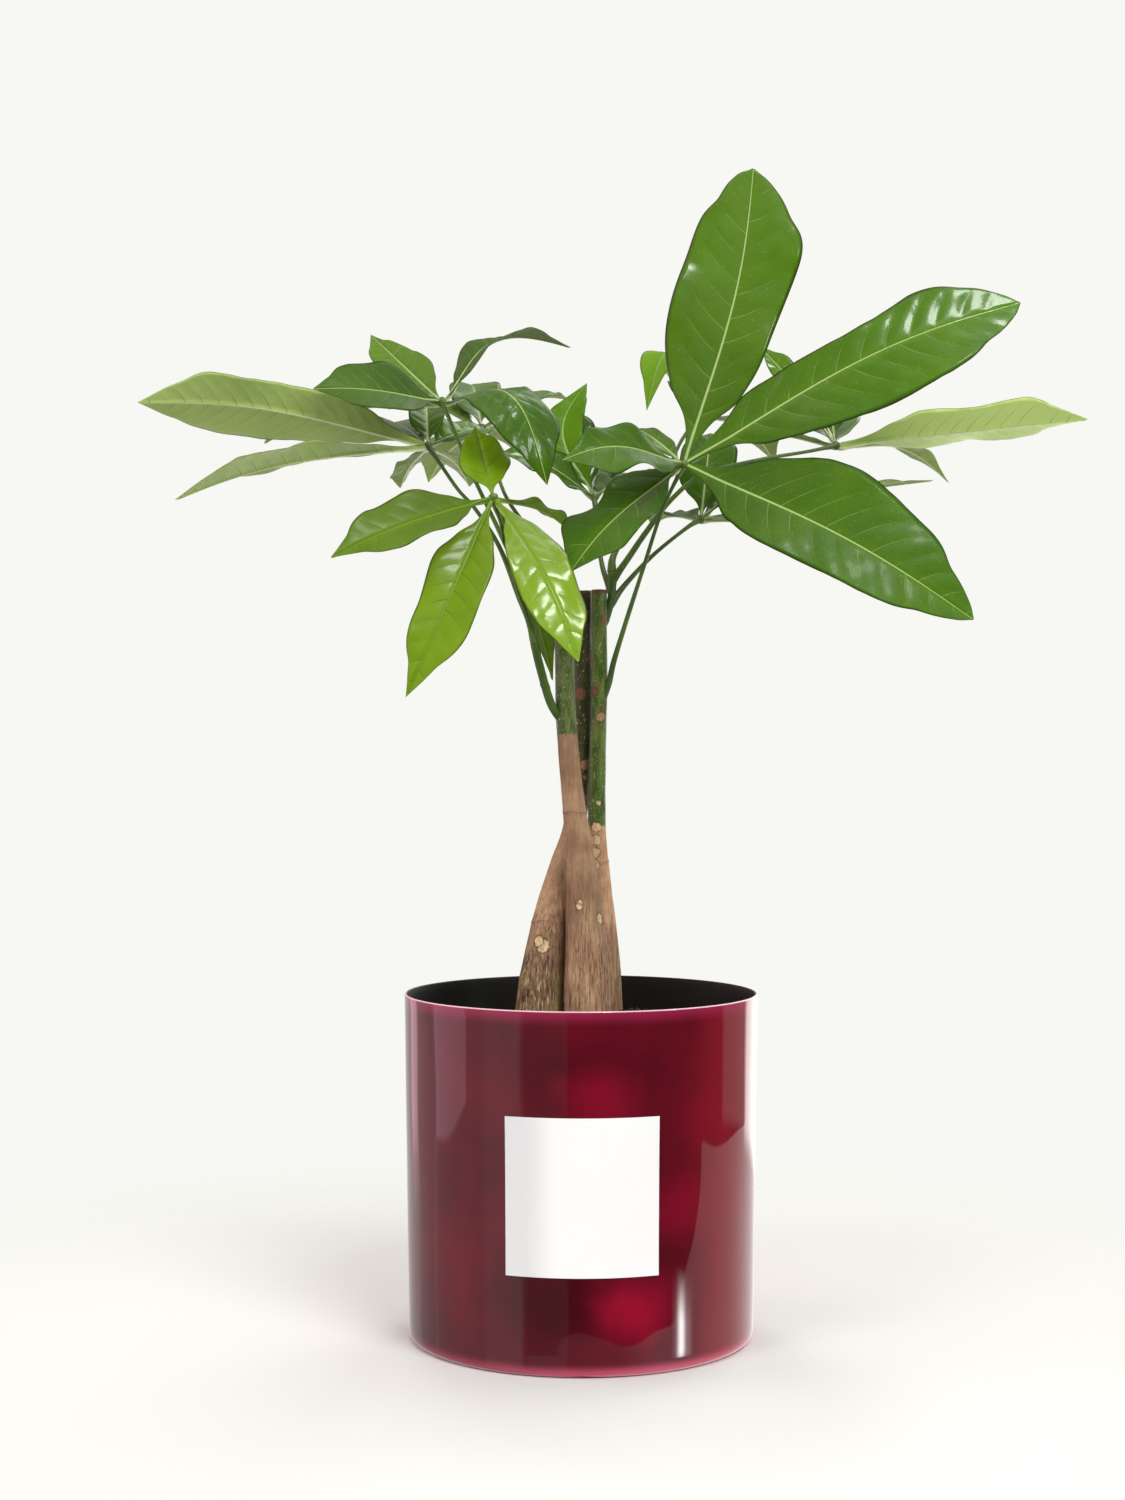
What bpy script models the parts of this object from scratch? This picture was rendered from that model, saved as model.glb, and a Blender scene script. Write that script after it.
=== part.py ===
"""A potted money tree: three twined trunks and nine palmate leaves in a round lacquered pot.

The origin is the centre of the pot's base, +Z is up and the label faces -Y. Lengths are written in
millimetres and become Blender's metres where a mesh is made. In the plant's own values a place is
(x, y, height), with the height measured from the soil line.
"""

import math

import bmesh
import bpy
import numpy as np
from mathutils import Vector

MM = 0.001
GAP = 0.3  # clearance between neighbouring pieces
SHARP_ANGLE = 40.0  # edges that turn more than this many degrees stay crisp

# The pot is a thin round shell that narrows a little towards its foot.
POT_HEIGHT = 186.0
POT_RIM_RADIUS = 96.0
POT_FOOT_RADIUS = 93.5
POT_WALL = 1.4
POT_FLOOR = 3.0
POT_FOOT_ROUNDING = 4.0
POT_FOOT_STEPS = 3
POT_LIP_CHAMFER = 0.35
POT_SIDES = 48

# The label is a bare square of card on the pot's front.
LABEL_WIDTH = 78.0
LABEL_LOW = 51.0
LABEL_HIGH = 132.0
LABEL_THICKNESS = 0.6
LABEL_COLUMNS = 12

# The soil fills the pot and rises in a low mound round the trunks.
SOIL_LINE = 163.5
SOIL_MOUND = 9.0
SOIL_MOUND_REACH = 48.0
SOIL_RINGS = (14.0, 30.0, 50.0, 72.0)
SOIL_SIDES = 32
SOIL_LUMP = 1.3
LUMP_TURN_X = 0.23  # how fast the lumps come and go, in radians a millimetre
LUMP_TURN_Y = 0.19
LUMP_TURN_DIAGONAL = 0.11

# Trunks: each row is (x, y, height, radius) up the middle of the wood.
TRUNK_FOOT = -60.0
TRUNK_SIDES = 12
TRUNK_RING_SPACING = 11.0
TUBE_START = (0.31, 0.95, 0.05)  # any direction that no tube starts along
TRUNK_FRONT = [
    (4, -7, TRUNK_FOOT, 9),
    (4, -7, 0, 13),
    (3, -7, 50, 11.2),
    (1, -8, 80, 9.2),
    (-2, -9, 110, 7.0),
    (-5, -10, 135, 5.9),
    (-8, -10, 170, 5.5),
    (-9, -9, 205, 5.2),
    (-9, -8, 242, 4.9),
]
TRUNK_LEFT = [
    (-26, 3, TRUNK_FOOT, 9),
    (-24, 3, 0, 13),
    (-18, 6, 50, 11.2),
    (-11, 10, 84, 8.4),
    (-4, 12, 110, 6.4),
    (0, 11, 140, 5.7),
    (1, 9, 180, 5.4),
    (1, 8, 242, 5.0),
]
TRUNK_RIGHT = [
    (15, 21, TRUNK_FOOT, 8),
    (13, 19, 0, 10.5),
    (12, 15, 50, 8.4),
    (10, 10, 82, 6.6),
    (9, 5, 110, 5.0),
    (9, 1, 145, 4.7),
    (10, 0, 190, 4.5),
    (10, 1, 242, 4.2),
]

# Green stems that grow from the trunks and carry the leaves, in the same rows.
STEM_SIDES = 8
SHOOT_LEFT = [
    (-9, -9, 168, 2.0),
    (-16, -14, 179, 2.3),
    (-21, -18, 195, 2.3),
    (-25, -20, 212, 2.3),
    (-28, -20, 234, 2.5),
]
SHOOT_RIGHT = [
    (10, 1, 218, 2.0),
    (14, 3, 227, 2.2),
    (17, 5, 240, 2.2),
    (17, 6, 256, 2.5),
]

# Leaflet blades.
STALK_RADIUS = 1.6
STALK_SIDES = 7
STALK_RING_SPACING = 13.0
HUB_RADIUS = 3.0
BLADE_STATIONS = (0.0, 0.08, 0.25, 0.48, 0.70, 0.88, 1.0)
BLADE_WIDTHS_BLUNT = (0.05, 0.08, 0.58, 0.94, 1.00, 0.58, 0.16)
BLADE_WIDTHS_POINTED = (0.05, 0.08, 0.58, 0.94, 0.92, 0.42, 0.04)
BLADE_ARCH_SKEW = 1.25  # above 1 the arch is highest past the blade's middle
BLADE_ACROSS = (-1.0, -0.5, 0.0, 0.5, 1.0)
BLADE_THICKNESS = 0.8
BLADE_ROOT_THICKNESS = 2.2
BLADE_ROOT_END = 0.1  # share of the blade's length
WAVES_ALONG = 2.5
WAVE_SHIFT = 2.0  # the ripple's lead on one margin over the other, in radians

BURGUNDY = (0.11, 0.006, 0.02)
CARD = (0.86, 0.86, 0.85)
SOIL = (0.035, 0.022, 0.014)
BARK = (0.34, 0.20, 0.11)
MATURE_GREEN = (0.09, 0.22, 0.04)
YOUNG_GREEN = (0.20, 0.38, 0.05)


def leaflet(tip, width, facing=(0, 0, 1), bow=8.0, sway=0.0, fold=0.2, wave=1.6, point=1.0):
    """One blade: its tip, full width, the way its upper side looks, and how it bends.

    bow lifts the midrib off the straight line from hub to tip, towards the upper side, and sway bends
    it sideways. fold raises the margins by that share of the half width and wave ripples them. point
    runs from 0, a blunt blade, to 1, a pointed one.
    """
    return {
        "tip": tip,
        "width": width,
        "facing": facing,
        "bow": bow,
        "sway": sway,
        "fold": fold,
        "wave": wave,
        "point": point,
    }


def leaf_left_far():
    """The leaf that reaches furthest left, seen from just under its long pale leaflet."""
    stalk = [
        (-26, -20, 221),
        (-33, -18, 236),
        (-44, -13, 264),
        (-57, -5, 285),
        (-68, 1, 298),
        (-84, 10, 322),
    ]
    blades = [
        leaflet((-239, -15, 342), 47, facing=(0, 0.5, 0.87), bow=10),
        leaflet((-209, -75, 283), 40, facing=(0, 0.3, 0.95), bow=9, sway=-3),
        leaflet((-118, 96, 344), 34, bow=6),
        leaflet((-104, 74, 306), 20, facing=(-0.4, 0, 1), bow=3),
        leaflet((-64, 85, 308), 26, facing=(0.3, 0, 1), bow=5),
        leaflet((-50, 58, 336), 30, facing=(0, -0.5, 0.9), bow=4),
        leaflet((-88, 66, 358), 22, facing=(0, -0.8, 0.6), bow=3),
    ]
    return stalk, blades


def leaf_left_front():
    """The bright young leaf in front of the others on the left, with its leaflets hanging."""
    stalk = [
        (-25, -20, 213),
        (-29, -29, 226),
        (-35, -38, 244),
        (-40, -50, 265),
        (-46, -60, 286),
    ]
    blades = [
        leaflet((-57, -22, 328), 24, facing=(0, -0.7, 0.7), bow=4),
        leaflet((-125, -115, 251), 40, facing=(-0.1, -0.8, 0.65), bow=5, sway=-2),
        leaflet((-88, -110, 182), 35, facing=(-0.2, -0.9, 0.35), bow=7, sway=-5),
        leaflet((-2, -120, 199), 34, facing=(0.35, -0.8, 0.6), bow=8, sway=-5, fold=-0.1),
        leaflet((-5, -24, 271), 20, bow=5),
        leaflet((-15, -45, 191), 20, facing=(0.8, -0.5, 0.4), bow=4, wave=0.6),
    ]
    return stalk, blades


def leaf_left_upper():
    """The darker leaf above, whose right leaflet arches over to the front."""
    stalk = [
        (-27, -20, 231),
        (-32, -21, 246),
        (-43, -19, 270),
        (-58, -12, 302),
        (-72, -3, 333),
        (-80, 6, 350),
    ]
    blades = [
        leaflet((-121, 88, 394), 34, bow=3, sway=-5),
        leaflet((-144, -30, 349), 46, facing=(-0.1, -0.75, 0.7), bow=4),
        leaflet((-181, 62, 330), 38, bow=9),
        leaflet((-5, 85, 389), 26, facing=(0, 0.05, 1), bow=18),
        leaflet((-17, -55, 292), 46, facing=(0.4, -0.5, 0.85), bow=31, fold=-0.15),
    ]
    return stalk, blades


def leaf_left_rear():
    """The leaf behind the left side, on a stalk from the left trunk's top."""
    stalk = [
        (1, 8, 235),
        (-11, 24, 254),
        (-38, 55, 292),
        (-47, 75, 312),
        (-58, 112, 346),
    ]
    blades = [
        leaflet((-4, 135, 366), 32, facing=(0, -0.3, 1), bow=8),
        leaflet((-68, 190, 384), 34, bow=6),
        leaflet((-118, 172, 366), 34, bow=8),
        leaflet((-34, 178, 336), 32, bow=9),
        leaflet((-92, 150, 318), 28, bow=6),
    ]
    return stalk, blades


def leaf_right_front():
    """The largest leaf, open towards the front, on its own thick stalk."""
    stalk = [
        (10, 0, 178),
        (15, -3, 190),
        (18, -7, 203),
        (25, -15, 226),
        (33, -25, 251),
        (43, -37, 282),
        (54, -45, 305),
    ]
    blades = [
        leaflet((93, -15, 469), 62, facing=(0, -1, 0.15), bow=8, sway=3, fold=0.1, point=0),
        leaflet((229, -60, 388), 60, facing=(-0.1, -0.8, 0.6), bow=7, sway=2, fold=0.1, point=0.3),
        leaflet((193, -120, 220), 62, facing=(0.15, -0.9, 0.5), bow=11, fold=0.1, point=0.5),
        leaflet((-8, -72, 247), 40, facing=(-0.3, -0.8, 0.6), bow=7),
        leaflet((-10, -95, 302), 42, facing=(0, -0.6, 0.8), bow=8),
        leaflet((24, -6, 330), 15, facing=(0, -0.8, 0.6), bow=3),
    ]
    return stalk, blades


def leaf_middle_rear():
    """The small leaf behind the middle, seen through the gap over the cut trunks."""
    stalk = [
        (17, 6, 241),
        (12, 15, 256),
        (9, 29, 280),
        (8, 42, 297),
    ]
    blades = [
        leaflet((4, 65, 365), 26, facing=(-0.3, -0.8, 0.5), bow=4, sway=-15),
        leaflet((-45, 27, 320), 34, facing=(0, -0.6, 0.8), bow=6),
        leaflet((-17, 88, 352), 34, facing=(0, -0.5, 0.85), bow=6),
        leaflet((40, 84, 312), 28, bow=6),
        leaflet((10, 118, 318), 28, bow=8),
    ]
    return stalk, blades


def leaf_right_rear():
    """The leaf low on the right, behind the largest one."""
    stalk = [
        (16, 5, 234),
        (25, 9, 246),
        (40, 14, 262),
        (58, 20, 277),
        (67, 25, 283),
    ]
    blades = [
        leaflet((75, 62, 336), 34, facing=(0, -0.8, 0.6), bow=4),
        leaflet((41, 66, 284), 26, facing=(0, -0.2, 1), bow=4),
        leaflet((201, 52, 308), 20, bow=2),
        leaflet((124, 112, 318), 34, bow=9),
        leaflet((104, 4, 272), 26, facing=(0, -0.2, 1), bow=4),
    ]
    return stalk, blades


def leaf_right_far():
    """The leaf that reaches furthest right, on a long stalk that runs level."""
    stalk = [
        (17, 6, 247),
        (25, 3, 258),
        (36, 2, 274),
        (50, 3, 292),
        (68, 6, 306),
        (100, 24, 316),
        (128, 44, 323),
        (146, 56, 328),
    ]
    blades = [
        leaflet((285, 35, 340), 42, facing=(0, 0.3, 0.95), bow=0),
        leaflet((222, 126, 315), 16, facing=(0.2, 0.3, 1), bow=12),
        leaflet((126, 128, 382), 36, facing=(0, -0.4, 0.9), bow=8, sway=9),
        leaflet((104, 92, 392), 16, facing=(0, -0.7, 0.7), bow=4),
        leaflet((90, 66, 334), 22, bow=4),
        leaflet((150, 172, 352), 38, bow=9),
    ]
    return stalk, blades


def leaf_right_upper():
    """The leaf behind the largest one, with one leaflet arched over to the left."""
    stalk = [
        (17, 6, 252),
        (18, 8, 261),
        (26, 20, 275),
        (39, 40, 291),
        (50, 66, 314),
        (60, 88, 336),
        (72, 100, 352),
    ]
    blades = [
        leaflet((38, 55, 349), 38, facing=(-0.5, -0.5, 0.8), bow=36),
        leaflet((104, 158, 388), 34, bow=8),
        leaflet((84, 122, 424), 34, facing=(0, -0.7, 0.7), bow=6),
        leaflet((70, 196, 378), 36, bow=10),
        leaflet((120, 150, 330), 34, bow=10),
    ]
    return stalk, blades


def remove_objects():
    for old in list(bpy.data.objects):
        bpy.data.objects.remove(old, do_unlink=True)


def material(name, colour, roughness, metallic=0.0, coat=0.0):
    made = bpy.data.materials.new(name)
    made.use_nodes = True
    shader = made.node_tree.nodes["Principled BSDF"]
    shader.inputs["Base Color"].default_value = (*colour, 1.0)
    shader.inputs["Roughness"].default_value = roughness
    shader.inputs["Metallic"].default_value = metallic
    shader.inputs["Coat Weight"].default_value = coat
    return made


def add_object(name, bm, finish=None):
    """Turn a mesh in millimetres into an object in metres, with its faces pointing out."""
    bmesh.ops.recalc_face_normals(bm, faces=bm.faces)
    bmesh.ops.scale(bm, vec=(MM, MM, MM), verts=bm.verts)
    mesh = bpy.data.meshes.new(name)
    bm.to_mesh(mesh)
    bm.free()
    mesh.shade_smooth()
    mesh.set_sharp_from_angle(angle=math.radians(SHARP_ANGLE))
    if finish is not None:
        mesh.materials.append(finish)
    made = bpy.data.objects.new(name, mesh)
    bpy.context.scene.collection.objects.link(made)
    return made


def boolean(target, operation, others):
    """Join the other objects to the target, or cut them from it, and remove them."""
    group = bpy.data.collections.new("tools")
    bpy.context.scene.collection.children.link(group)
    for other in others:
        bpy.context.scene.collection.objects.unlink(other)
        group.objects.link(other)
    step = target.modifiers.new(operation.lower(), "BOOLEAN")
    step.operation = operation
    step.operand_type = "COLLECTION"
    step.collection = group
    step.solver = "EXACT"
    evaluated = target.evaluated_get(bpy.context.evaluated_depsgraph_get())
    result = bpy.data.meshes.new_from_object(evaluated)
    target.modifiers.clear()
    target.data = result
    for other in others:
        bpy.data.objects.remove(other, do_unlink=True)
    bpy.data.collections.remove(group)


def unit(vector):
    return vector / np.linalg.norm(vector)


def smooth_route(points, spacing):
    """Points on a smooth curve through the given ones, about one spacing apart."""
    known = np.array(points, dtype=float)
    padded = np.vstack([2 * known[0] - known[1], known, 2 * known[-1] - known[-2]])
    route = [known[0]]
    for before, start, end, after in zip(padded, padded[1:], padded[2:], padded[3:]):
        steps = max(1, round(np.linalg.norm((end - start)[:3]) / spacing))
        for step in range(1, steps + 1):
            t = step / steps
            along = (end - before) * t
            square = (2 * before - 5 * start + 4 * end - after) * t**2
            cube = (3 * start - before - 3 * end + after) * t**3
            route.append(start + 0.5 * (along + square + cube))
    return np.array(route)


def tube(route, sides, extra=0.0):
    """A closed tube of rings along rows of (x, y, z, radius), with extra added all round."""
    bm = bmesh.new()
    centres = route[:, :3].copy()
    tangents = np.gradient(centres, axis=0)
    centres[0] -= extra * unit(tangents[0])
    centres[-1] += extra * unit(tangents[-1])
    across = unit(np.cross(tangents[0], TUBE_START))
    rings = []
    for centre, tangent, radius in zip(centres, tangents, route[:, 3]):
        forward = unit(tangent)
        across = unit(across - forward * across.dot(forward))
        other = np.cross(forward, across)
        ring = []
        for side in range(sides):
            angle = 2 * math.pi * side / sides
            reach = (radius + extra) * (math.cos(angle) * across + math.sin(angle) * other)
            ring.append(bm.verts.new(centre + reach))
        rings.append(ring)
    for low, high in zip(rings, rings[1:]):
        for side in range(sides):
            after = (side + 1) % sides
            bm.faces.new((low[side], low[after], high[after], high[side]))
    bm.faces.new(reversed(rings[0]))
    bm.faces.new(rings[-1])
    return bm


def pot_radius(height):
    return POT_FOOT_RADIUS + (POT_RIM_RADIUS - POT_FOOT_RADIUS) * height / POT_HEIGHT


def clear_inside_radius(height):
    """How far out the soil can reach and still clear the middles of the pot's flat inner facets."""
    return (pot_radius(height) - POT_WALL) * math.cos(math.pi / POT_SIDES) - GAP


def turned(profile, sides):
    """Spin a profile of (radius, height) that starts and ends on the axis."""
    bm = bmesh.new()
    corners = [bm.verts.new((radius, 0.0, height)) for radius, height in profile]
    edges = [bm.edges.new(pair) for pair in zip(corners, corners[1:])]
    bmesh.ops.spin(
        bm,
        geom=corners + edges,
        axis=(0, 0, 1),
        cent=(0, 0, 0),
        steps=sides,
        angle=2 * math.pi,
        use_merge=True,
    )
    bmesh.ops.remove_doubles(bm, verts=bm.verts, dist=0.001)
    return bm


def make_pot():
    foot_arc = []
    for step in range(POT_FOOT_STEPS + 1):
        angle = math.pi / 2 * step / POT_FOOT_STEPS
        radius = pot_radius(0) - POT_FOOT_ROUNDING * (1 - math.sin(angle))
        foot_arc.append((radius, POT_FOOT_ROUNDING * (1 - math.cos(angle))))
    rim, lip = POT_RIM_RADIUS, POT_LIP_CHAMFER
    profile = [(0.0, 0.0), *foot_arc, (pot_radius(POT_HEIGHT / 2), POT_HEIGHT / 2)]
    profile += [(rim, POT_HEIGHT - lip), (rim - lip, POT_HEIGHT)]
    profile += [(rim - POT_WALL + lip, POT_HEIGHT), (rim - POT_WALL, POT_HEIGHT - lip)]
    profile += [(pot_radius(POT_FLOOR) - POT_WALL, POT_FLOOR), (0.0, POT_FLOOR)]
    finish = material("burgundy lacquer", BURGUNDY, 0.12, coat=1.0)
    return add_object("pot", turned(profile, POT_SIDES), finish)


def make_label():
    """A card bent round the pot, following its taper."""
    bm = bmesh.new()
    front_radius = pot_radius((LABEL_LOW + LABEL_HIGH) / 2) + GAP + LABEL_THICKNESS
    half_angle = math.asin(LABEL_WIDTH / 2 / front_radius)
    bulge = 1 / math.cos(half_angle / LABEL_COLUMNS)
    corners = []
    for lift in (GAP, GAP + LABEL_THICKNESS):
        for height in (LABEL_LOW, LABEL_HIGH):
            radius = (pot_radius(height) + lift) * bulge
            row = []
            for column in range(LABEL_COLUMNS + 1):
                angle = half_angle * (2 * column / LABEL_COLUMNS - 1)
                row.append(bm.verts.new((radius * math.sin(angle), -radius * math.cos(angle), height)))
            corners.append(row)
    back_low, back_high, front_low, front_high = corners
    sheets = ((back_low, back_high), (front_low, front_high))
    edges = ((back_low, front_low), (back_high, front_high))
    for near, far in sheets + edges:
        for column in range(LABEL_COLUMNS):
            bm.faces.new((near[column], near[column + 1], far[column + 1], far[column]))
    for end in (0, LABEL_COLUMNS):
        bm.faces.new((back_low[end], back_high[end], front_high[end], front_low[end]))
    return add_object("label", bm, material("white card", CARD, 0.7))


def soil_height(x, y):
    """The mound round the trunks, with low lumps all over."""
    distance = math.hypot(x, y)
    mound = SOIL_MOUND * math.exp(-((distance / SOIL_MOUND_REACH) ** 2))
    crossed = math.sin(LUMP_TURN_X * x + 1.0) * math.cos(LUMP_TURN_Y * y)
    diagonal = math.sin(LUMP_TURN_DIAGONAL * (x - y))
    return SOIL_LINE + mound + SOIL_LUMP * (crossed + diagonal)


def make_soil():
    bm = bmesh.new()
    foot = POT_FLOOR + GAP
    foot_radius = clear_inside_radius(foot)
    top_radius = clear_inside_radius(SOIL_LINE)

    def ring(radius, height_at):
        corners = []
        for side in range(SOIL_SIDES):
            angle = 2 * math.pi * side / SOIL_SIDES
            x, y = radius * math.cos(angle), radius * math.sin(angle)
            corners.append(bm.verts.new((x, y, height_at(x, y))))
        return corners

    rings = [ring(foot_radius, lambda x, y: foot), ring(top_radius, soil_height)]
    for radius in reversed(SOIL_RINGS):
        rings.append(ring(radius, soil_height))
    for low, high in zip(rings, rings[1:]):
        bmesh.ops.bridge_loops(bm, edges=ring_edges(bm, low) + ring_edges(bm, high))
    bm.faces.new(rings[0])
    peak = bm.verts.new((0, 0, soil_height(0, 0)))
    inner = rings[-1]
    for side in range(SOIL_SIDES):
        bm.faces.new((inner[side], inner[(side + 1) % SOIL_SIDES], peak))
    bmesh.ops.triangulate(bm, faces=bm.faces)
    return add_object("soil", bm, material("potting soil", SOIL, 0.95))


def ring_edges(bm, ring):
    edges = []
    for start, end in zip(ring, ring[1:] + ring[:1]):
        edges.append(bm.edges.get((start, end)) or bm.edges.new((start, end)))
    return edges


def above_soil(rows):
    return [(x, y, SOIL_LINE + height, *rest) for x, y, height, *rest in rows]


def wood_route(rows):
    return smooth_route(above_soil(rows), TRUNK_RING_SPACING)


def make_trunk(name, rows, finish, shoot=None):
    trunk = add_object(name, tube(wood_route(rows), TRUNK_SIDES), finish)
    if shoot is not None:
        stem = add_object(name + "_shoot", tube(wood_route(shoot), STEM_SIDES))
        boolean(trunk, "UNION", [stem])
    return trunk


def cut_trunk_holes(soil):
    """Plain holes in the soil, one clearance wider and deeper than the trunks' feet."""
    cutters = []
    for rows in (TRUNK_FRONT, TRUNK_LEFT, TRUNK_RIGHT):
        route = wood_route(rows)
        below = route[route[:, 2] < SOIL_LINE + SOIL_MOUND + 2 * TRUNK_RING_SPACING]
        cutters.append(add_object("hole", tube(below, TRUNK_SIDES, extra=GAP)))
    boolean(soil, "DIFFERENCE", cutters)


def blade_mesh(hub, blade):
    """A thin arched blade: two like sheets, a wall round the margin, widest past its middle."""
    chord = np.array(blade["tip"], dtype=float) - hub
    along = unit(chord)
    facing = np.array(blade["facing"], dtype=float)
    up = unit(facing - along * facing.dot(along))
    side = np.cross(along, up)
    bm = bmesh.new()
    sheets = ([], [])
    for share, blunt, pointed in zip(BLADE_STATIONS, BLADE_WIDTHS_BLUNT, BLADE_WIDTHS_POINTED):
        width = blunt + (pointed - blunt) * blade["point"]
        arch = math.sin(math.pi * share**BLADE_ARCH_SKEW)
        middle = hub + chord * share + up * blade["bow"] * arch + side * blade["sway"] * arch
        half = width * blade["width"] / 2
        thickness = BLADE_ROOT_THICKNESS if share < BLADE_ROOT_END else BLADE_THICKNESS
        for sheet, sign in zip(sheets, (1, -1)):
            row = []
            for across in BLADE_ACROSS:
                ripple = math.sin(2 * math.pi * WAVES_ALONG * share + (across > 0) * WAVE_SHIFT)
                rise = abs(across) * half * blade["fold"] + across**2 * width * blade["wave"] * ripple
                place = middle + side * across * half + up * (rise + sign * thickness / 2)
                row.append(bm.verts.new(place))
            sheet.append(row)
    upper, lower = sheets
    columns = range(len(BLADE_ACROSS) - 1)
    for sheet in sheets:
        for near, far in zip(sheet, sheet[1:]):
            for column in columns:
                bm.faces.new((near[column], near[column + 1], far[column + 1]))
                bm.faces.new((near[column], far[column + 1], far[column]))
    for end in (0, -1):
        for near_up, far_up, near_low, far_low in zip(upper, upper[1:], lower, lower[1:]):
            bm.faces.new((near_up[end], far_up[end], far_low[end]))
            bm.faces.new((near_up[end], far_low[end], near_low[end]))
        for column in columns:
            above, below = upper[end], lower[end]
            bm.faces.new((above[column], above[column + 1], below[column + 1]))
            bm.faces.new((above[column], below[column + 1], below[column]))
    return bm


def make_leaf(name, leaf, finish, carriers):
    """A stalk, a small knuckle and its leaflets as one piece, seated on the stem that bears it."""
    stalk, blades = leaf
    rows = [(*point, STALK_RADIUS) for point in above_soil(stalk)]
    hub = np.array(rows[-1][:3])
    made = add_object(name, tube(smooth_route(rows, STALK_RING_SPACING), STALK_SIDES), finish)
    knuckle = bmesh.new()
    bmesh.ops.create_icosphere(knuckle, subdivisions=1, radius=HUB_RADIUS)
    bmesh.ops.translate(knuckle, vec=Vector(hub), verts=knuckle.verts)
    pieces = [add_object(name + "_knuckle", knuckle)]
    for blade in blades:
        x, y, height = blade["tip"]
        placed = {**blade, "tip": (x, y, SOIL_LINE + height)}
        pieces.append(add_object(name + "_blade", blade_mesh(hub, placed)))
    boolean(made, "UNION", pieces)
    seats = []
    for stem_rows, sides in carriers:
        seats.append(add_object(name + "_seat", tube(wood_route(stem_rows), sides, extra=GAP)))
    boolean(made, "DIFFERENCE", seats)
    return made


def main():
    remove_objects()
    make_pot()
    make_label()
    soil = make_soil()
    cut_trunk_holes(soil)
    bark = material("brown bark", BARK, 0.8)
    make_trunk("trunk_front", TRUNK_FRONT, bark, SHOOT_LEFT)
    make_trunk("trunk_left", TRUNK_LEFT, bark)
    make_trunk("trunk_right", TRUNK_RIGHT, bark, SHOOT_RIGHT)
    old_green = material("mature leaf", MATURE_GREEN, 0.35, coat=0.3)
    young_green = material("young leaf", YOUNG_GREEN, 0.35, coat=0.3)
    left = (TRUNK_LEFT, TRUNK_SIDES)
    right = (TRUNK_RIGHT, TRUNK_SIDES)
    left_stem = (SHOOT_LEFT, STEM_SIDES)
    right_stem = (SHOOT_RIGHT, STEM_SIDES)
    make_leaf("leaf_left_far", leaf_left_far(), old_green, [left_stem])
    make_leaf("leaf_left_front", leaf_left_front(), young_green, [left_stem])
    make_leaf("leaf_left_upper", leaf_left_upper(), old_green, [left_stem])
    make_leaf("leaf_left_rear", leaf_left_rear(), old_green, [left])
    make_leaf("leaf_right_front", leaf_right_front(), old_green, [right, right_stem])
    make_leaf("leaf_middle_rear", leaf_middle_rear(), old_green, [right_stem])
    make_leaf("leaf_right_rear", leaf_right_rear(), old_green, [right_stem])
    make_leaf("leaf_right_far", leaf_right_far(), old_green, [right_stem])
    make_leaf("leaf_right_upper", leaf_right_upper(), old_green, [right_stem])


main()
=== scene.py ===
# %% [markdown]
# # A potted money tree
#
# A money tree has leaves like open hands, on stems that growers twine together while they are soft
# and later cut back. This one stands in a thin round pot in burgundy lacquer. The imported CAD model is
# the fixed frame of the scene: it says where each piece is and how big it is. Every piece made here
# stands in for one of its solids, in the same place, with the detail that a solid leaves out.
# Lengths are metres, +Z is up, and the label looks along -Y.

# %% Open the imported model
import math

import bmesh
import bpy
import numpy as np
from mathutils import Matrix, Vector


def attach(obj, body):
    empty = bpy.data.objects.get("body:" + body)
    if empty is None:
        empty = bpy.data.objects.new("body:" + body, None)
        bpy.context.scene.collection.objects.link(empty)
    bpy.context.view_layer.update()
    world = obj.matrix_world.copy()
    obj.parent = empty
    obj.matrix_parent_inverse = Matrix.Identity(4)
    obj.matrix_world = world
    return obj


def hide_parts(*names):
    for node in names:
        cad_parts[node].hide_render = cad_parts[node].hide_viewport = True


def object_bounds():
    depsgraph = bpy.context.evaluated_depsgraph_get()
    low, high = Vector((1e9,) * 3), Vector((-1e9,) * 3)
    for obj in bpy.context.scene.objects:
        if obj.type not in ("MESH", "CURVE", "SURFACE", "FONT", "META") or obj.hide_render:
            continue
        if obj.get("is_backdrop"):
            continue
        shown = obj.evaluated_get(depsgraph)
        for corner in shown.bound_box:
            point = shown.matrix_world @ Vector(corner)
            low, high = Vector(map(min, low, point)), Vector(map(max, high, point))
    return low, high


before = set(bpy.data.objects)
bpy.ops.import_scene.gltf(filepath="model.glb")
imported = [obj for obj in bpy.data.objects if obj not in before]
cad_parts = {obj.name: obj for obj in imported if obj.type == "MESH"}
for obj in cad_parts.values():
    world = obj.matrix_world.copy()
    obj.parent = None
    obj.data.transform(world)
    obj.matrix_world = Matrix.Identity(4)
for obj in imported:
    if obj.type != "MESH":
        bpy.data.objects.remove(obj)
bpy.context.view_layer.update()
MM = 0.001

# %% [markdown]
# ## Wires instead of node boxes
#
# A material or a Geometry Nodes tree is a net of small nodes. Built by hand in the editor it is easy
# to see but slow to change, and in plain Python each node takes several lines. A thin wrapper solves
# that: a Wire is one node's output, and Python's own operators on wires add the Math nodes. So
# `1 - mask * 0.3` reads like the sum it is, and the same class serves shaders and geometry.

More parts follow.
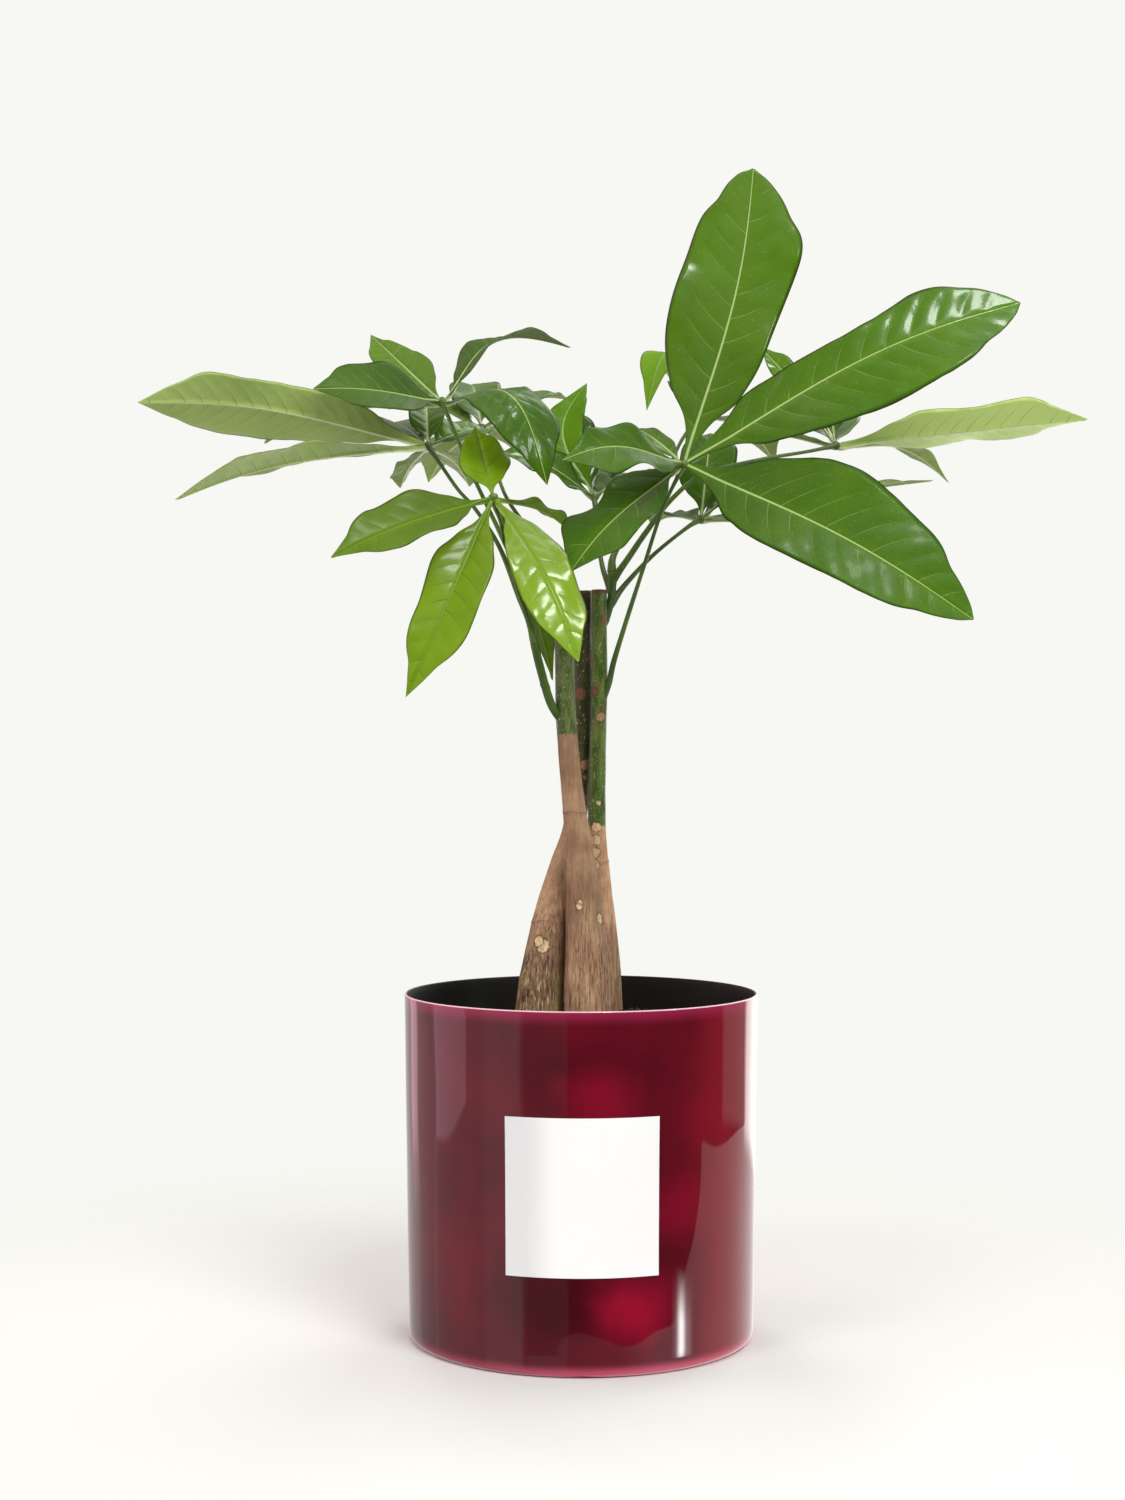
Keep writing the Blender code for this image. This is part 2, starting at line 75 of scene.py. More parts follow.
# %% Sums that build themselves out of nodes
class Wire:
    """One node's output, usable in Python sums."""

    def __init__(self, graph, socket):
        self.graph = graph
        self.socket = socket

    def output(self, name):
        """Another output of the same node."""
        return Wire(self.graph, self.socket.node.outputs[name])

    def __add__(self, other):
        return self.graph.math("ADD", self, other)

    def __radd__(self, other):
        return self.graph.math("ADD", other, self)

    def __sub__(self, other):
        return self.graph.math("SUBTRACT", self, other)

    def __rsub__(self, other):
        return self.graph.math("SUBTRACT", other, self)

    def __mul__(self, other):
        return self.graph.math("MULTIPLY", self, other)

    def __rmul__(self, other):
        return self.graph.math("MULTIPLY", other, self)

    def __truediv__(self, other):
        return self.graph.math("DIVIDE", self, other)

    def __rtruediv__(self, other):
        return self.graph.math("DIVIDE", other, self)

    def __pow__(self, power):
        return self.graph.math("POWER", self, power)

    def __abs__(self):
        return self.graph.math("ABSOLUTE", self)


# %% One method for every kind of node
class Graph:
    """Adds nodes to one tree. Sockets are given by name or by place among those in use."""

    def __init__(self, tree):
        self.tree = tree

    def node(self, kind, settings=None, sockets=None, output=0):
        made = self.tree.nodes.new(kind)
        for name, value in (settings or {}).items():
            if name == "stops":
                self.set_stops(made.color_ramp, value)
            elif name == "bends":
                self.set_bends(made.mapping, value)
            else:
                setattr(made, name, value)
        for key, value in (sockets or {}).items():
            socket = self.pick(made.inputs, key)
            if isinstance(value, Wire):
                self.tree.links.new(value.socket, socket)
            elif socket.type == "RGBA":
                socket.default_value = (*value, 1.0)
            else:
                socket.default_value = value
        return Wire(self, self.pick(made.outputs, output))

    @staticmethod
    def pick(sockets, key):
        used = [socket for socket in sockets if socket.enabled]
        if isinstance(key, int):
            return used[key]
        return next(socket for socket in used if socket.name == key)

    @staticmethod
    def set_stops(ramp, stops):
        while len(ramp.elements) < len(stops):
            ramp.elements.new(0.5)
        for element, (place, colour) in zip(ramp.elements, stops):
            element.position = place
            element.color = (*colour, 1.0)

    @staticmethod
    def set_bends(mapping, bends):
        points = mapping.curves[0].points
        while len(points) < len(bends):
            points.new(0.5, 0.5)
        for point, place in zip(points, bends):
            point.location = place
            point.handle_type = "AUTO_CLAMPED"
        mapping.update()

    def math(self, operation, *values):
        return self.node("ShaderNodeMath", {"operation": operation}, dict(enumerate(values)))

    def vector(self, operation, *values):
        return self.node("ShaderNodeVectorMath", {"operation": operation}, dict(enumerate(values)))

    def total(self, *terms):
        """The sum of (vector, amount) pairs."""
        scaled = [self.vector("SCALE", vector, amount) for vector, amount in terms]
        whole = scaled[0]
        for part in scaled[1:]:
            whole = self.vector("ADD", whole, part)
        return whole

    def split(self, vector):
        first = self.node("ShaderNodeSeparateXYZ", sockets={0: vector})
        return first, first.output("Y"), first.output("Z")

    def join(self, x, y, z):
        return self.node("ShaderNodeCombineXYZ", sockets={0: x, 1: y, 2: z})

    def ease(self, value, start, end):
        """0 before start, 1 after end, and smooth between. A start above the end runs downwards."""
        return self.node(
            "ShaderNodeMapRange",
            {"interpolation_type": "SMOOTHSTEP"},
            {"Value": value, "From Min": start, "From Max": end},
        )

    def noise(self, place, scale, detail=2.0, roughness=0.5):
        sockets = {"Vector": place, "Scale": scale, "Detail": detail, "Roughness": roughness}
        return self.node("ShaderNodeTexNoise", sockets=sockets)

    def mix(self, share, first, second, blend="MIX"):
        settings = {"data_type": "RGBA", "blend_type": blend}
        return self.node("ShaderNodeMix", settings, {0: share, 1: first, 2: second})


# %% [markdown]
# ## Camera and studio
#
# The photo looks straight ahead from the height of the lower leaves, so the rim of the pot shows as
# a thin ellipse. A focal length in pixels says how wide the view is whatever the sensor, and the
# camera's height is where the horizon crosses the picture. There is no shift and no blur.

# %% Set up the camera
PHOTO_HEIGHT = 1500
FOCAL_PIXELS = 2314
SENSOR = 36.0
camera = bpy.data.cameras.new("camera")
camera.sensor_fit = "VERTICAL"
camera.sensor_height = SENSOR
camera.lens = FOCAL_PIXELS / PHOTO_HEIGHT * SENSOR
camera_object = bpy.data.objects.new("camera", camera)
camera_object.location = (-0.010, -1.263, 0.318)
camera_object.rotation_euler = (math.radians(90), 0, 0)
bpy.context.scene.collection.objects.link(camera_object)
bpy.context.scene.camera = camera_object
bpy.context.scene.view_settings.view_transform = "Standard"
print("lens in mm:", round(camera.lens, 2))

# %% [markdown]
# A gloss pot is only as good as what it mirrors. The studio is therefore painted in light: pale walls
# all round, brighter on the left and above, and a dark stretch on the right, with soft window strips
# whose mirror images become the long highlights on the lacquer. A world shader can hold all of it,
# because every direction has an azimuth and an elevation. The camera itself sees plain pale paper.

# %% Paint the studio into the world
PAPER = (0.930, 0.938, 0.896)
world = bpy.data.worlds.new("studio")
world.use_nodes = True
bpy.context.scene.world = world
sky = Graph(world.node_tree)
sky_output = world.node_tree.nodes["World Output"]
direction = sky.node("ShaderNodeTexCoord", output="Generated")
east, north, height = sky.split(direction)
azimuth = sky.math("ARCTAN2", east, north * -1) * (180 / math.pi)
elevation = sky.math("ARCSINE", height) * (180 / math.pi)


CURTAIN_LOW = 20.0
CURTAIN_LEFT = -60.0
CURTAIN_RIGHT = 180.0
CURTAIN = [
    (0.330, 0.815), (0.472, 0.815), (0.508, 0.76), (0.534, 0.646), (0.541, 0.604), (0.570, 0.598),
    (0.607, 0.588), (0.666, 0.567), (0.702, 0.536), (0.739, 0.506), (0.762, 0.449), (0.783, 0.40),
    (0.812, 0.34), (0.824, 0.24), (0.829, 0.10), (1.00, 0.10),
]


def window(low, high, soft=3.0):
    """1 between two azimuths, fading over some degrees on both sides."""
    return sky.ease(azimuth, low - soft, low + soft) * sky.ease(azimuth, high + soft, high - soft)


above = sky.ease(elevation, -4, 30)
low_band = sky.ease(elevation, 14, 0)
pale_left = window(-178, -38, 3) * low_band
pale_left = pale_left * (0.70 - window(-133, -112, 2) * 0.15 - window(-109, -66, 3) * 0.17)
dim_front = window(-37, -9, 1.2) * 0.17
level = 0.05 + pale_left + dim_front + above * 0.38
left_foot = ((azimuth + 98) * (1 / 15)) ** 2 * 0.35 - 10.5
left_window = window(-110, -80, 0.8) * sky.ease(elevation, left_foot, left_foot + 0.25) * 1.15
left_window = left_window + window(-146, -134, 1) * sky.ease(elevation, -12.0, -9.0) * 1.1
curtain_edge = sky.node(
    "ShaderNodeFloatCurve", {"bends": CURTAIN}, {"Value": elevation * (-1 / CURTAIN_LOW)}
) * (CURTAIN_RIGHT - CURTAIN_LEFT) + CURTAIN_LEFT
opened = sky.ease(azimuth, curtain_edge - 0.8, curtain_edge + 0.8) * sky.ease(azimuth, 178, 172)
opened = opened * sky.ease(elevation, 2, -3)
past_curtain = opened * (0.75 + sky.ease(azimuth, 100, 150) * 0.5) * (0.3 + sky.ease(azimuth, 18, 58) * 0.7)
right_strip = window(133, 168, 3) * sky.ease(elevation, -10.8, -9.6) * 2.0
right_strip = right_strip + window(104, 131, 1.5) * sky.ease(elevation, -10.3, -9.7) * 0.42
low_reach = sky.ease(elevation, -13.7, -14.7) * sky.ease(elevation, -18.2, -16.2)
low_strip = (window(66.5, 71.0, 2.6) * 19 + window(64, 76, 4.0) * 3) * low_reach
level = level + left_window + past_curtain + right_strip + low_strip
light_path = sky.node("ShaderNodeLightPath", output="Is Camera Ray")
tint = sky.mix(sky.ease(left_window, 0.0, 0.5), (1.0, 0.99, 0.97), (1.0, 0.70, 0.78))
studio_light = sky.node("ShaderNodeBackground", sockets={"Color": tint, "Strength": level})
paper_light = sky.node("ShaderNodeBackground", sockets={"Color": PAPER, "Strength": 1.0})
both = sky.node("ShaderNodeMixShader", sockets={0: light_path, 1: studio_light, 2: paper_light})
world.node_tree.links.new(both.socket, sky_output.inputs["Surface"])
print("world nodes:", len(world.node_tree.nodes))

# %% [markdown]
# The floor is a large disc of the same pale paper. Near the pot it catches the soft shadow, and
# further out it fades into the world's colour, so no horizon line shows behind the leaves.

# %% Lay the floor
FLOOR_RADIUS = 2.4
FLOOR_DROP = 0.0003
floor_mesh = bpy.data.meshes.new("floor")
bm = bmesh.new()
bmesh.ops.create_circle(bm, cap_ends=True, radius=FLOOR_RADIUS, segments=96)
bmesh.ops.translate(bm, vec=(0, 0, -FLOOR_DROP), verts=bm.verts)
bm.to_mesh(floor_mesh)
bm.free()
floor = bpy.data.objects.new("floor", floor_mesh)
bpy.context.scene.collection.objects.link(floor)
floor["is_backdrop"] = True
paper = bpy.data.materials.new("pale paper")
paper.use_nodes = True
graph = Graph(paper.node_tree)
shader = paper.node_tree.nodes["Principled BSDF"]
shader.inputs["Base Color"].default_value = (0.71, 0.72, 0.69, 1.0)
shader.inputs["Roughness"].default_value = 0.9
shader.inputs["Specular IOR Level"].default_value = 0.1
place = graph.node("ShaderNodeTexCoord", output="Object")
distance = graph.vector("LENGTH", place)
fade = graph.ease(distance.output("Value"), 0.20, 0.60)
clear = graph.node("ShaderNodeBsdfTransparent")
surface = graph.node("ShaderNodeMixShader", sockets={0: fade, 1: Wire(graph, shader.outputs[0]), 2: clear})
paper.node_tree.links.new(surface.socket, paper.node_tree.nodes["Material Output"].inputs["Surface"])
floor_mesh.materials.append(paper)
floor.visible_glossy = False
print("floor radius in m:", FLOOR_RADIUS)

# %% [markdown]
# Three soft boxes light the plant. The key stands high in front and to the right, so the trunks are
# bright in their middle. A weaker one fills from the left, and one behind draws a light edge along
# the leaves. Two smaller boxes, over the plant and low on the right, only show as highlights: they
# put the crisp glints on the leaves that arch towards them.

# %% Hang the soft boxes
def soft_box(name, place, target, size, power):
    light = bpy.data.lights.new(name, "AREA")
    light.shape = "DISK"
    light.size = size
    light.energy = power
    made = bpy.data.objects.new(name, light)
    bpy.context.scene.collection.objects.link(made)
    made.location = place
    away = np.array(place) - np.array(target)
    tilt = math.atan2(math.hypot(away[0], away[1]), away[2])
    made.rotation_euler = (tilt, 0, math.atan2(away[1], away[0]) + math.pi / 2)
    return made


LEAVES_MIDDLE = (0.0, 0.0, 0.45)
for name, place, size, power in (
    ("key", (0.75, -1.45, 1.55), 1.10, 32),
    ("fill", (-1.10, -1.3, 1.25), 0.9, 12),
    ("edge", (-0.4, 1.3, 1.6), 0.7, 9),
):
    soft_box(name, place, LEAVES_MIDDLE, size, power).visible_glossy = False
for name, place, size, power in (
    ("glint_over", (0.34, -0.66, 1.85), 0.38, 15),
    ("glint_right", (1.30, -0.70, 1.05), 0.30, 7),
):
    soft_box(name, place, LEAVES_MIDDLE, size, power).visible_diffuse = False

# %% [markdown]
# ## Finishes
#
# Every finish starts from the Principled shader. Numbers that are the same all over go straight on
# its sockets. Only colour, roughness and the bump that bends the normal vary over a surface, and
# they are worked out from the place on the object, in metres, or from values the mesh carries.

# %% Start a material
def new_material(name, fixed):
    """An empty finish: its graph, its shader, and the place on the object."""
    made = bpy.data.materials.new(name)
    made.use_nodes = True
    shader = made.node_tree.nodes["Principled BSDF"]
    for socket, value in fixed.items():
        shader.inputs[socket].default_value = value
    graph = Graph(made.node_tree)
    return made, graph, shader, graph.node("ShaderNodeTexCoord", output="Object")


def feed(graph, shader, varying):
    for socket, wire in varying.items():
        graph.tree.links.new(wire.socket, shader.inputs[socket])


def bump(graph, height, strength, depth):
    sockets = {"Strength": strength, "Distance": depth, "Height": height}
    return graph.node("ShaderNodeBump", sockets=sockets)


def place_piece(piece, slot, *nodes):
    """Hang the piece on the root body and hide the solids it stands for. The slot, its finish, is not used."""
    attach(piece, "root")
    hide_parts(*nodes)


def count_triangles(mesh):
    return sum(len(face.vertices) - 2 for face in mesh.polygons)


# %% [markdown]
# ## The pot
#
# The real pot is a thin-walled cylinder, black inside, dipped in a clear burgundy lacquer that pools
# unevenly: light crimson clouds in near-black red, and a pale line where it thins over the rim and
# the foot, which here is partly a painted highlight. A cylinder primitive would have razor edges, so
# the wall is spun from a profile with a rounded foot and lip. The wall is also moved in and out by a
# tenth of a millimetre, because a hand finished gloss surface gives itself away by reflections that waver.

# %% Spin the pot
POT_HEIGHT = 0.186
POT_RIM_RADIUS = 0.096
POT_FOOT_RADIUS = 0.0935
POT_WALL = 0.0014
POT_FLOOR = 0.003
FOOT_ROUNDING = 0.004
POT_SIDES = 192
WALL_RINGS = 48
WAVER = 0.00010


def wall_radius(height):
    return POT_FOOT_RADIUS + (POT_RIM_RADIUS - POT_FOOT_RADIUS) * height / POT_HEIGHT


def quarter_turns(centre, radius, first, last, steps):
    """Points of a profile on an arc, from one angle to another in degrees, 0 pointing outwards."""
    angles = np.radians(np.linspace(first, last, steps + 1))
    return [(centre[0] + radius * math.cos(a), centre[1] + radius * math.sin(a)) for a in angles]


lip = POT_WALL / 2
profile = [(0.0, 0.0), (0.05, 0.0)]
profile += quarter_turns((POT_FOOT_RADIUS - FOOT_ROUNDING, FOOT_ROUNDING), FOOT_ROUNDING, -90, 0, 8)
for height in np.linspace(FOOT_ROUNDING, POT_HEIGHT - lip, WALL_RINGS)[1:-1]:
    profile.append((wall_radius(height), height))
profile += quarter_turns((POT_RIM_RADIUS - lip, POT_HEIGHT - lip), lip, 0, 180, 8)
for height in np.linspace(POT_HEIGHT - lip, POT_FLOOR + FOOT_ROUNDING, WALL_RINGS)[1:-1]:
    profile.append((wall_radius(height) - POT_WALL, height))
inner_foot = wall_radius(POT_FLOOR) - POT_WALL - FOOT_ROUNDING
profile += quarter_turns((inner_foot, POT_FLOOR + FOOT_ROUNDING), FOOT_ROUNDING, 0, -90, 4)
profile.append((0.0, POT_FLOOR))


def waver(angle, height):
    """How far the lacquered wall stands in or out of the true circle."""
    slow = math.sin(3 * angle + 9 * height) + math.sin(7 * angle - 31 * height + 2)
    quick = math.sin(13 * angle + 47 * height + 1) + math.sin(5 * angle + 83 * height)
    return WAVER * (0.6 * slow + 0.4 * quick)


def spin_pot():
    bm = bmesh.new()
    rings = []
    for radius, height in profile:
        if radius == 0:
            rings.append([bm.verts.new((0, 0, height))])
            continue
        calm = min(1.0, height / 0.02) * min(1.0, (POT_HEIGHT - height) / 0.01) * (radius > 0.06)
        ring = []
        for side in range(POT_SIDES):
            angle = 2 * math.pi * side / POT_SIDES
            reach = radius + waver(angle, height) * calm
            ring.append(bm.verts.new((reach * math.cos(angle), reach * math.sin(angle), height)))
        rings.append(ring)
    for low, high in zip(rings, rings[1:]):
        for side in range(POT_SIDES):
            after = (side + 1) % POT_SIDES
            if len(low) == 1:
                bm.faces.new((low[0], high[after], high[side]))
            elif len(high) == 1:
                bm.faces.new((low[side], low[after], high[0]))
            else:
                bm.faces.new((low[side], low[after], high[after], high[side]))
    return bm


bm = spin_pot()
for face in bm.faces:
    middle = face.calc_center_median()
    inside = math.hypot(middle.x, middle.y) < wall_radius(middle.z) - POT_WALL * 0.62
    face.material_index = int(inside and middle.z > POT_FLOOR / 2)
pot_mesh = bpy.data.meshes.new("pot")
bm.to_mesh(pot_mesh)
bm.free()
pot_mesh.shade_smooth()
pot = bpy.data.objects.new("pot_shell", pot_mesh)
bpy.context.scene.collection.objects.link(pot)
print("pot triangles:", count_triangles(pot_mesh))

# %% [markdown]
# The lacquer is a dark base under a clear coat. Its clouds are large soft noise with a few crimson
# pools where the photo has them, placed by their distance from points on the wall, so they stay on
# the pot from every side. The right flank is a lighter rose, which is painted light, and two darker
# patches on the front are a painted dark reflection. The pale line at the rim depends on height
# alone. The one at the foot also grows stronger towards the right, where the light comes from. Both
# lines are partly thin lacquer and partly a painted highlight.

# %% Mix the burgundy lacquer
NIGHT_RED = (0.070, 0.0030, 0.008)
WINE = (0.120, 0.0035, 0.012)
CRIMSON = (0.30, 0.004, 0.026)
PAINTED_LIGHT_ROSE = (0.24, 0.010, 0.020)
THIN_LACQUER_AND_HIGHLIGHT = (0.75, 0.11, 0.21)
BARE_EDGE_AND_HIGHLIGHT = (0.88, 0.56, 0.64)
RIM_GLOW = (0.38, 0.022, 0.085)
lacquer, graph, shader, place = new_material(
    "burgundy_lacquer",
    {"Coat Weight": 1.0, "Coat Roughness": 0.015, "Coat IOR": 1.5, "Specular IOR Level": 0.0},
)
x, y, z = graph.split(place)
clouds = graph.noise(graph.vector("MULTIPLY", place, (1.0, 1.0, 1.5)), 16, detail=3, roughness=0.6)
streaks = graph.noise(graph.vector("MULTIPLY", place, (1.0, 1.0, 0.25)), 60, detail=2)


# The patches lie flat and their edges wander.
across = x + (clouds - 0.5) * 0.030
height_up = z * 1.35 + (streaks - 0.5) * 0.030
warped = graph.join(across, y, height_up)


def pool(centre, reach):
    """A soft patch on the wall, wider than it is tall."""
    middle = (centre[0], centre[1], centre[2] * 1.35)
    away = graph.vector("DISTANCE", warped, middle).output("Value")
    return graph.ease(away, reach, reach * 0.1)


pools = pool((0.028, -0.091, 0.036), 0.032) * 0.95 + pool((0.008, -0.094, 0.142), 0.030) * 0.55
pools = pools + pool((0.066, -0.067, 0.126), 0.030) * 0.40 + pool((0.050, -0.080, 0.084), 0.034) * 0.5
pools = pools + pool((-0.05, 0.08, 0.10), 0.06) * 0.7 + pool((-0.088, 0.02, 0.05), 0.05) * 0.5
pools = pools + pool((-0.070, -0.060, 0.055), 0.040) * 0.25 + pool((-0.050, -0.080, 0.140), 0.035) * 0.2
glow = graph.math("MINIMUM", pools * (0.35 + clouds * 1.0), 1.0)
depth = graph.ease(clouds * 0.7 + streaks * 0.3, 0.30, 0.68)
colour = graph.mix(depth, NIGHT_RED, WINE)
# Painted dark reflection: two darker patches on the front, where the lacquer mirrors a dim part of the room.
shadowed = pool((-0.020, -0.094, 0.040), 0.050) + pool((-0.018, -0.094, 0.150), 0.040) * 0.4
colour = graph.mix(shadowed * 0.75, colour, (0.030, 0.0012, 0.003))
colour = graph.mix(glow, colour, CRIMSON)
turn = graph.math("ARCTAN2", x, y * -1) * (180 / math.pi)
# Painted light: the right side of the pot, where the light comes from, is mixed towards a lighter rose.
painted_lit_flank = graph.ease(turn + (streaks - 0.5) * 12, 30, 52) * graph.ease(turn, 178, 130)
colour = graph.mix(painted_lit_flank * 0.85, colour, PAINTED_LIGHT_ROSE)
colour = graph.mix(graph.ease(z, 0.1775, 0.1856) * 0.55, colour, RIM_GLOW)
# The pale foot line is partly thinner lacquer and partly a painted highlight, stronger on the right, where the light
# comes from.
thin_foot_and_highlight = graph.ease(z, 0.0085, 0.0010) ** 1.6 * (0.40 + graph.ease(turn, -50, 35) * 0.55)
colour = graph.mix(thin_foot_and_highlight, colour, THIN_LACQUER_AND_HIGHLIGHT)
# The pale rim line is partly a bare edge and partly a painted highlight.
colour = graph.mix(graph.ease(z, 0.1852, 0.1857) * 0.9, colour, BARE_EDGE_AND_HIGHLIGHT)
feed(graph, shader, {"Base Color": colour, "Roughness": 0.30 + streaks * 0.15})

# %% [markdown]
# Inside, the pot is black and only half gloss, so it swallows the light around the soil.

# %% Blacken the inside
lining, graph, shader, place = new_material("black_lining", {"Specular IOR Level": 0.4})
wipe = graph.noise(graph.vector("MULTIPLY", place, (1.0, 1.0, 0.2)), 45, detail=3)
feed(graph, shader, {
    "Base Color": graph.mix(wipe, (0.003, 0.003, 0.003), (0.009, 0.0085, 0.0085)),
    "Roughness": 0.42 + wipe * 0.25,
})
pot_mesh.materials.append(lacquer)
pot_mesh.materials.append(lining)
place_piece(pot, "burgundy_lacquer", "pot")
print("lacquer nodes:", len(lacquer.node_tree.nodes))

# %% [markdown]
# ## The label
#
# A square of white card is stuck on the front. It is bare here. Card is never quite flush: this one
# follows the wall a hair's breadth away, and its corners lift a little. It is bent from a flat grid
# rather than cut from the pot, so it has its own thickness and crisp edges.

# %% Bend the label round the wall
LABEL_WIDTH = 0.078
LABEL_LOW = 0.051
LABEL_HIGH = 0.132
LABEL_CARD = 0.00035
LABEL_GAP = 0.00012
LABEL_LIFT = 0.00025
LABEL_COLUMNS = 40
LABEL_ROWS = 20


def label_point(across, up, lift):
    """A place on the card: across runs from -1 to 1, up from 0 to 1."""
    height = LABEL_LOW + (LABEL_HIGH - LABEL_LOW) * up
    corner = abs(across) ** 6 * abs(2 * up - 1) ** 4
    radius = wall_radius(height) + LABEL_GAP + LABEL_LIFT * corner + lift
    angle = across * math.asin(LABEL_WIDTH / 2 / (wall_radius(0.09) + LABEL_CARD))
    return (radius * math.sin(angle), -radius * math.cos(angle), height)


bm = bmesh.new()
sheets = []
for lift in (0, LABEL_CARD):
    rows = []
    for row in range(LABEL_ROWS + 1):
        line = []
        for column in range(LABEL_COLUMNS + 1):
            point = label_point(2 * column / LABEL_COLUMNS - 1, row / LABEL_ROWS, lift)
            line.append(bm.verts.new(point))
        rows.append(line)
    sheets.append(rows)
back, front = sheets
for rows in sheets:
    for low, high in zip(rows, rows[1:]):
        for a, b, c, d in zip(low, low[1:], high[1:], high):
            bm.faces.new((a, b, c, d))
for back_edge, front_edge in (
    (back[0], front[0]),
    (back[-1], front[-1]),
    ([row[0] for row in back], [row[0] for row in front]),
    ([row[-1] for row in back], [row[-1] for row in front]),
):
    for a, b, c, d in zip(back_edge, back_edge[1:], front_edge[1:], front_edge):
        bm.faces.new((a, b, c, d))
bmesh.ops.recalc_face_normals(bm, faces=bm.faces)
label_mesh = bpy.data.meshes.new("label_card")
bm.to_mesh(label_mesh)
bm.free()
label_mesh.shade_smooth()
label_mesh.set_sharp_from_angle(angle=math.radians(40))
label = bpy.data.objects.new("label_card", label_mesh)
bpy.context.scene.collection.objects.link(label)
print("label in mm:", [round(side / MM, 1) for side in label.dimensions])

# %% Make the card
card, graph, shader, place = new_material("white_card", {"Specular IOR Level": 0.35})
fibres = graph.noise(graph.vector("MULTIPLY", place, (1.0, 1.0, 0.4)), 2600, detail=3)
blotch = graph.noise(place, 60, detail=2)
x, y, z = graph.split(place)
white = graph.mix(fibres * 0.5 + blotch * 0.5, (0.86, 0.86, 0.855), (0.91, 0.91, 0.91))
# Painted shade: the card is greyed towards its left edge, away from the light on the right.
feed(graph, shader, {
    "Base Color": graph.mix(graph.ease(x, -0.012, -0.030) * 0.75, white, (0.66, 0.66, 0.67)),
    "Roughness": 0.48 + fibres * 0.12,
    "Normal": bump(graph, fibres, 0.12, 0.00005),
})
label_mesh.materials.append(card)
place_piece(label, "white_card", "label")

# %% [markdown]
# ## Rules for shapes
#
# A Geometry Nodes tree is a rule: something simple goes in, such as a line or a few points, and the
# finished shape comes out. The rules below have named inputs for their sizes. Each one is run once,
# and its outcome is kept as a plain mesh, so the piece has no live modifier left on it.

# %% Start and finish a rule
def start_rule(name, inputs):
    """A tree with named inputs. Returns its graph and a wire for each input."""
    tree = bpy.data.node_groups.new(name, "GeometryNodeTree")
    tree.interface.new_socket("Geometry", in_out="INPUT", socket_type="NodeSocketGeometry")
    for label_text, kind in inputs.items():
        tree.interface.new_socket(label_text, in_out="INPUT", socket_type="NodeSocket" + kind)
    tree.interface.new_socket("Geometry", in_out="OUTPUT", socket_type="NodeSocketGeometry")
    graph = Graph(tree)
    start = tree.nodes.new("NodeGroupInput")
    return graph, {socket.name: Wire(graph, socket) for socket in start.outputs if socket.name}


def finish_rule(graph, shape, material_wire, only=True):
    """Make copies real, give them, or only some faces, their material, and hand them over."""
    real = graph.node("GeometryNodeRealizeInstances", sockets={0: shape})
    sockets = {"Geometry": real, "Selection": only, "Material": material_wire}
    finished = graph.node("GeometryNodeSetMaterial", sockets=sockets)
    end = graph.tree.nodes.new("NodeGroupOutput")
    graph.tree.links.new(finished.socket, end.inputs[0])
    return graph.tree


def carried(graph, name, kind="FLOAT"):
    """A value that the points carry."""
    settings = {"data_type": kind}
    return graph.node("GeometryNodeInputNamedAttribute", settings, {"Name": name})


def store(graph, shape, name, value, kind="FLOAT", domain="POINT"):
    settings = {"data_type": kind, "domain": domain}
    sockets = {"Geometry": shape, "Name": name, "Value": value}
    return graph.node("GeometryNodeStoreNamedAttribute", settings, sockets)


def run_rule(tree, name, points, edges, values, point_values):
    """Feed points to a rule and keep what comes out as a plain mesh object."""
    mesh = bpy.data.meshes.new(name)
    mesh.from_pydata([tuple(point) for point in points], edges, [])
    for label_text, numbers in point_values.items():
        numbers = np.array(numbers, dtype=np.float32)
        kind, field = ("FLOAT", "value") if numbers.ndim == 1 else ("FLOAT_VECTOR", "vector")
        layer = mesh.attributes.new(label_text, kind, "POINT")
        layer.data.foreach_set(field, numbers.ravel())
    made = bpy.data.objects.new(name, mesh)
    bpy.context.scene.collection.objects.link(made)
    step = made.modifiers.new(tree.name, "NODES")
    step.node_group = tree
    for item in tree.interface.items_tree:
        if item.item_type == "SOCKET" and item.in_out == "INPUT" and item.name in values:
            step[item.identifier] = values[item.name]
    evaluated = made.evaluated_get(bpy.context.evaluated_depsgraph_get())
    grown = bpy.data.meshes.new_from_object(evaluated)
    made.modifiers.clear()
    made.data = grown
    bpy.data.meshes.remove(mesh)
    grown.name = name
    return made


# %% [markdown]
# ## Potting mix
#
# The pot is filled to a few centimetres under its rim with a dark, crumbly mix that rises round the
# trunks. A bumpy texture alone looks like tarmac from above, so there are three layers: a solid plug
# with a lumpy top, crumbs of peat strewn over it by a rule, and larger flat chips of bark.

# %% Pour the soil
SOIL_LINE = 0.1635
SOIL_MOUND = 0.009
SOIL_MOUND_REACH = 0.048
SOIL_LUMP = 0.0013
SOIL_CLEARANCE = 0.0005
SOIL_RINGS = 40
SOIL_SIDES = 96


def soil_height(x, y):
    """The mound round the trunks and the lumps of the CAD solid, with finer ones on top."""
    a, b = x / MM, y / MM
    mound = SOIL_MOUND * math.exp(-((math.hypot(x, y) / SOIL_MOUND_REACH) ** 2))
    lumps = math.sin(0.23 * a + 1.0) * math.cos(0.19 * b) + math.sin(0.11 * (a - b))
    fine = math.sin(0.9 * a + 0.4 * b) * math.sin(0.8 * b - 0.3 * a) + math.sin(1.7 * b + a)
    return SOIL_LINE + mound + SOIL_LUMP * lumps + 0.0002 * fine


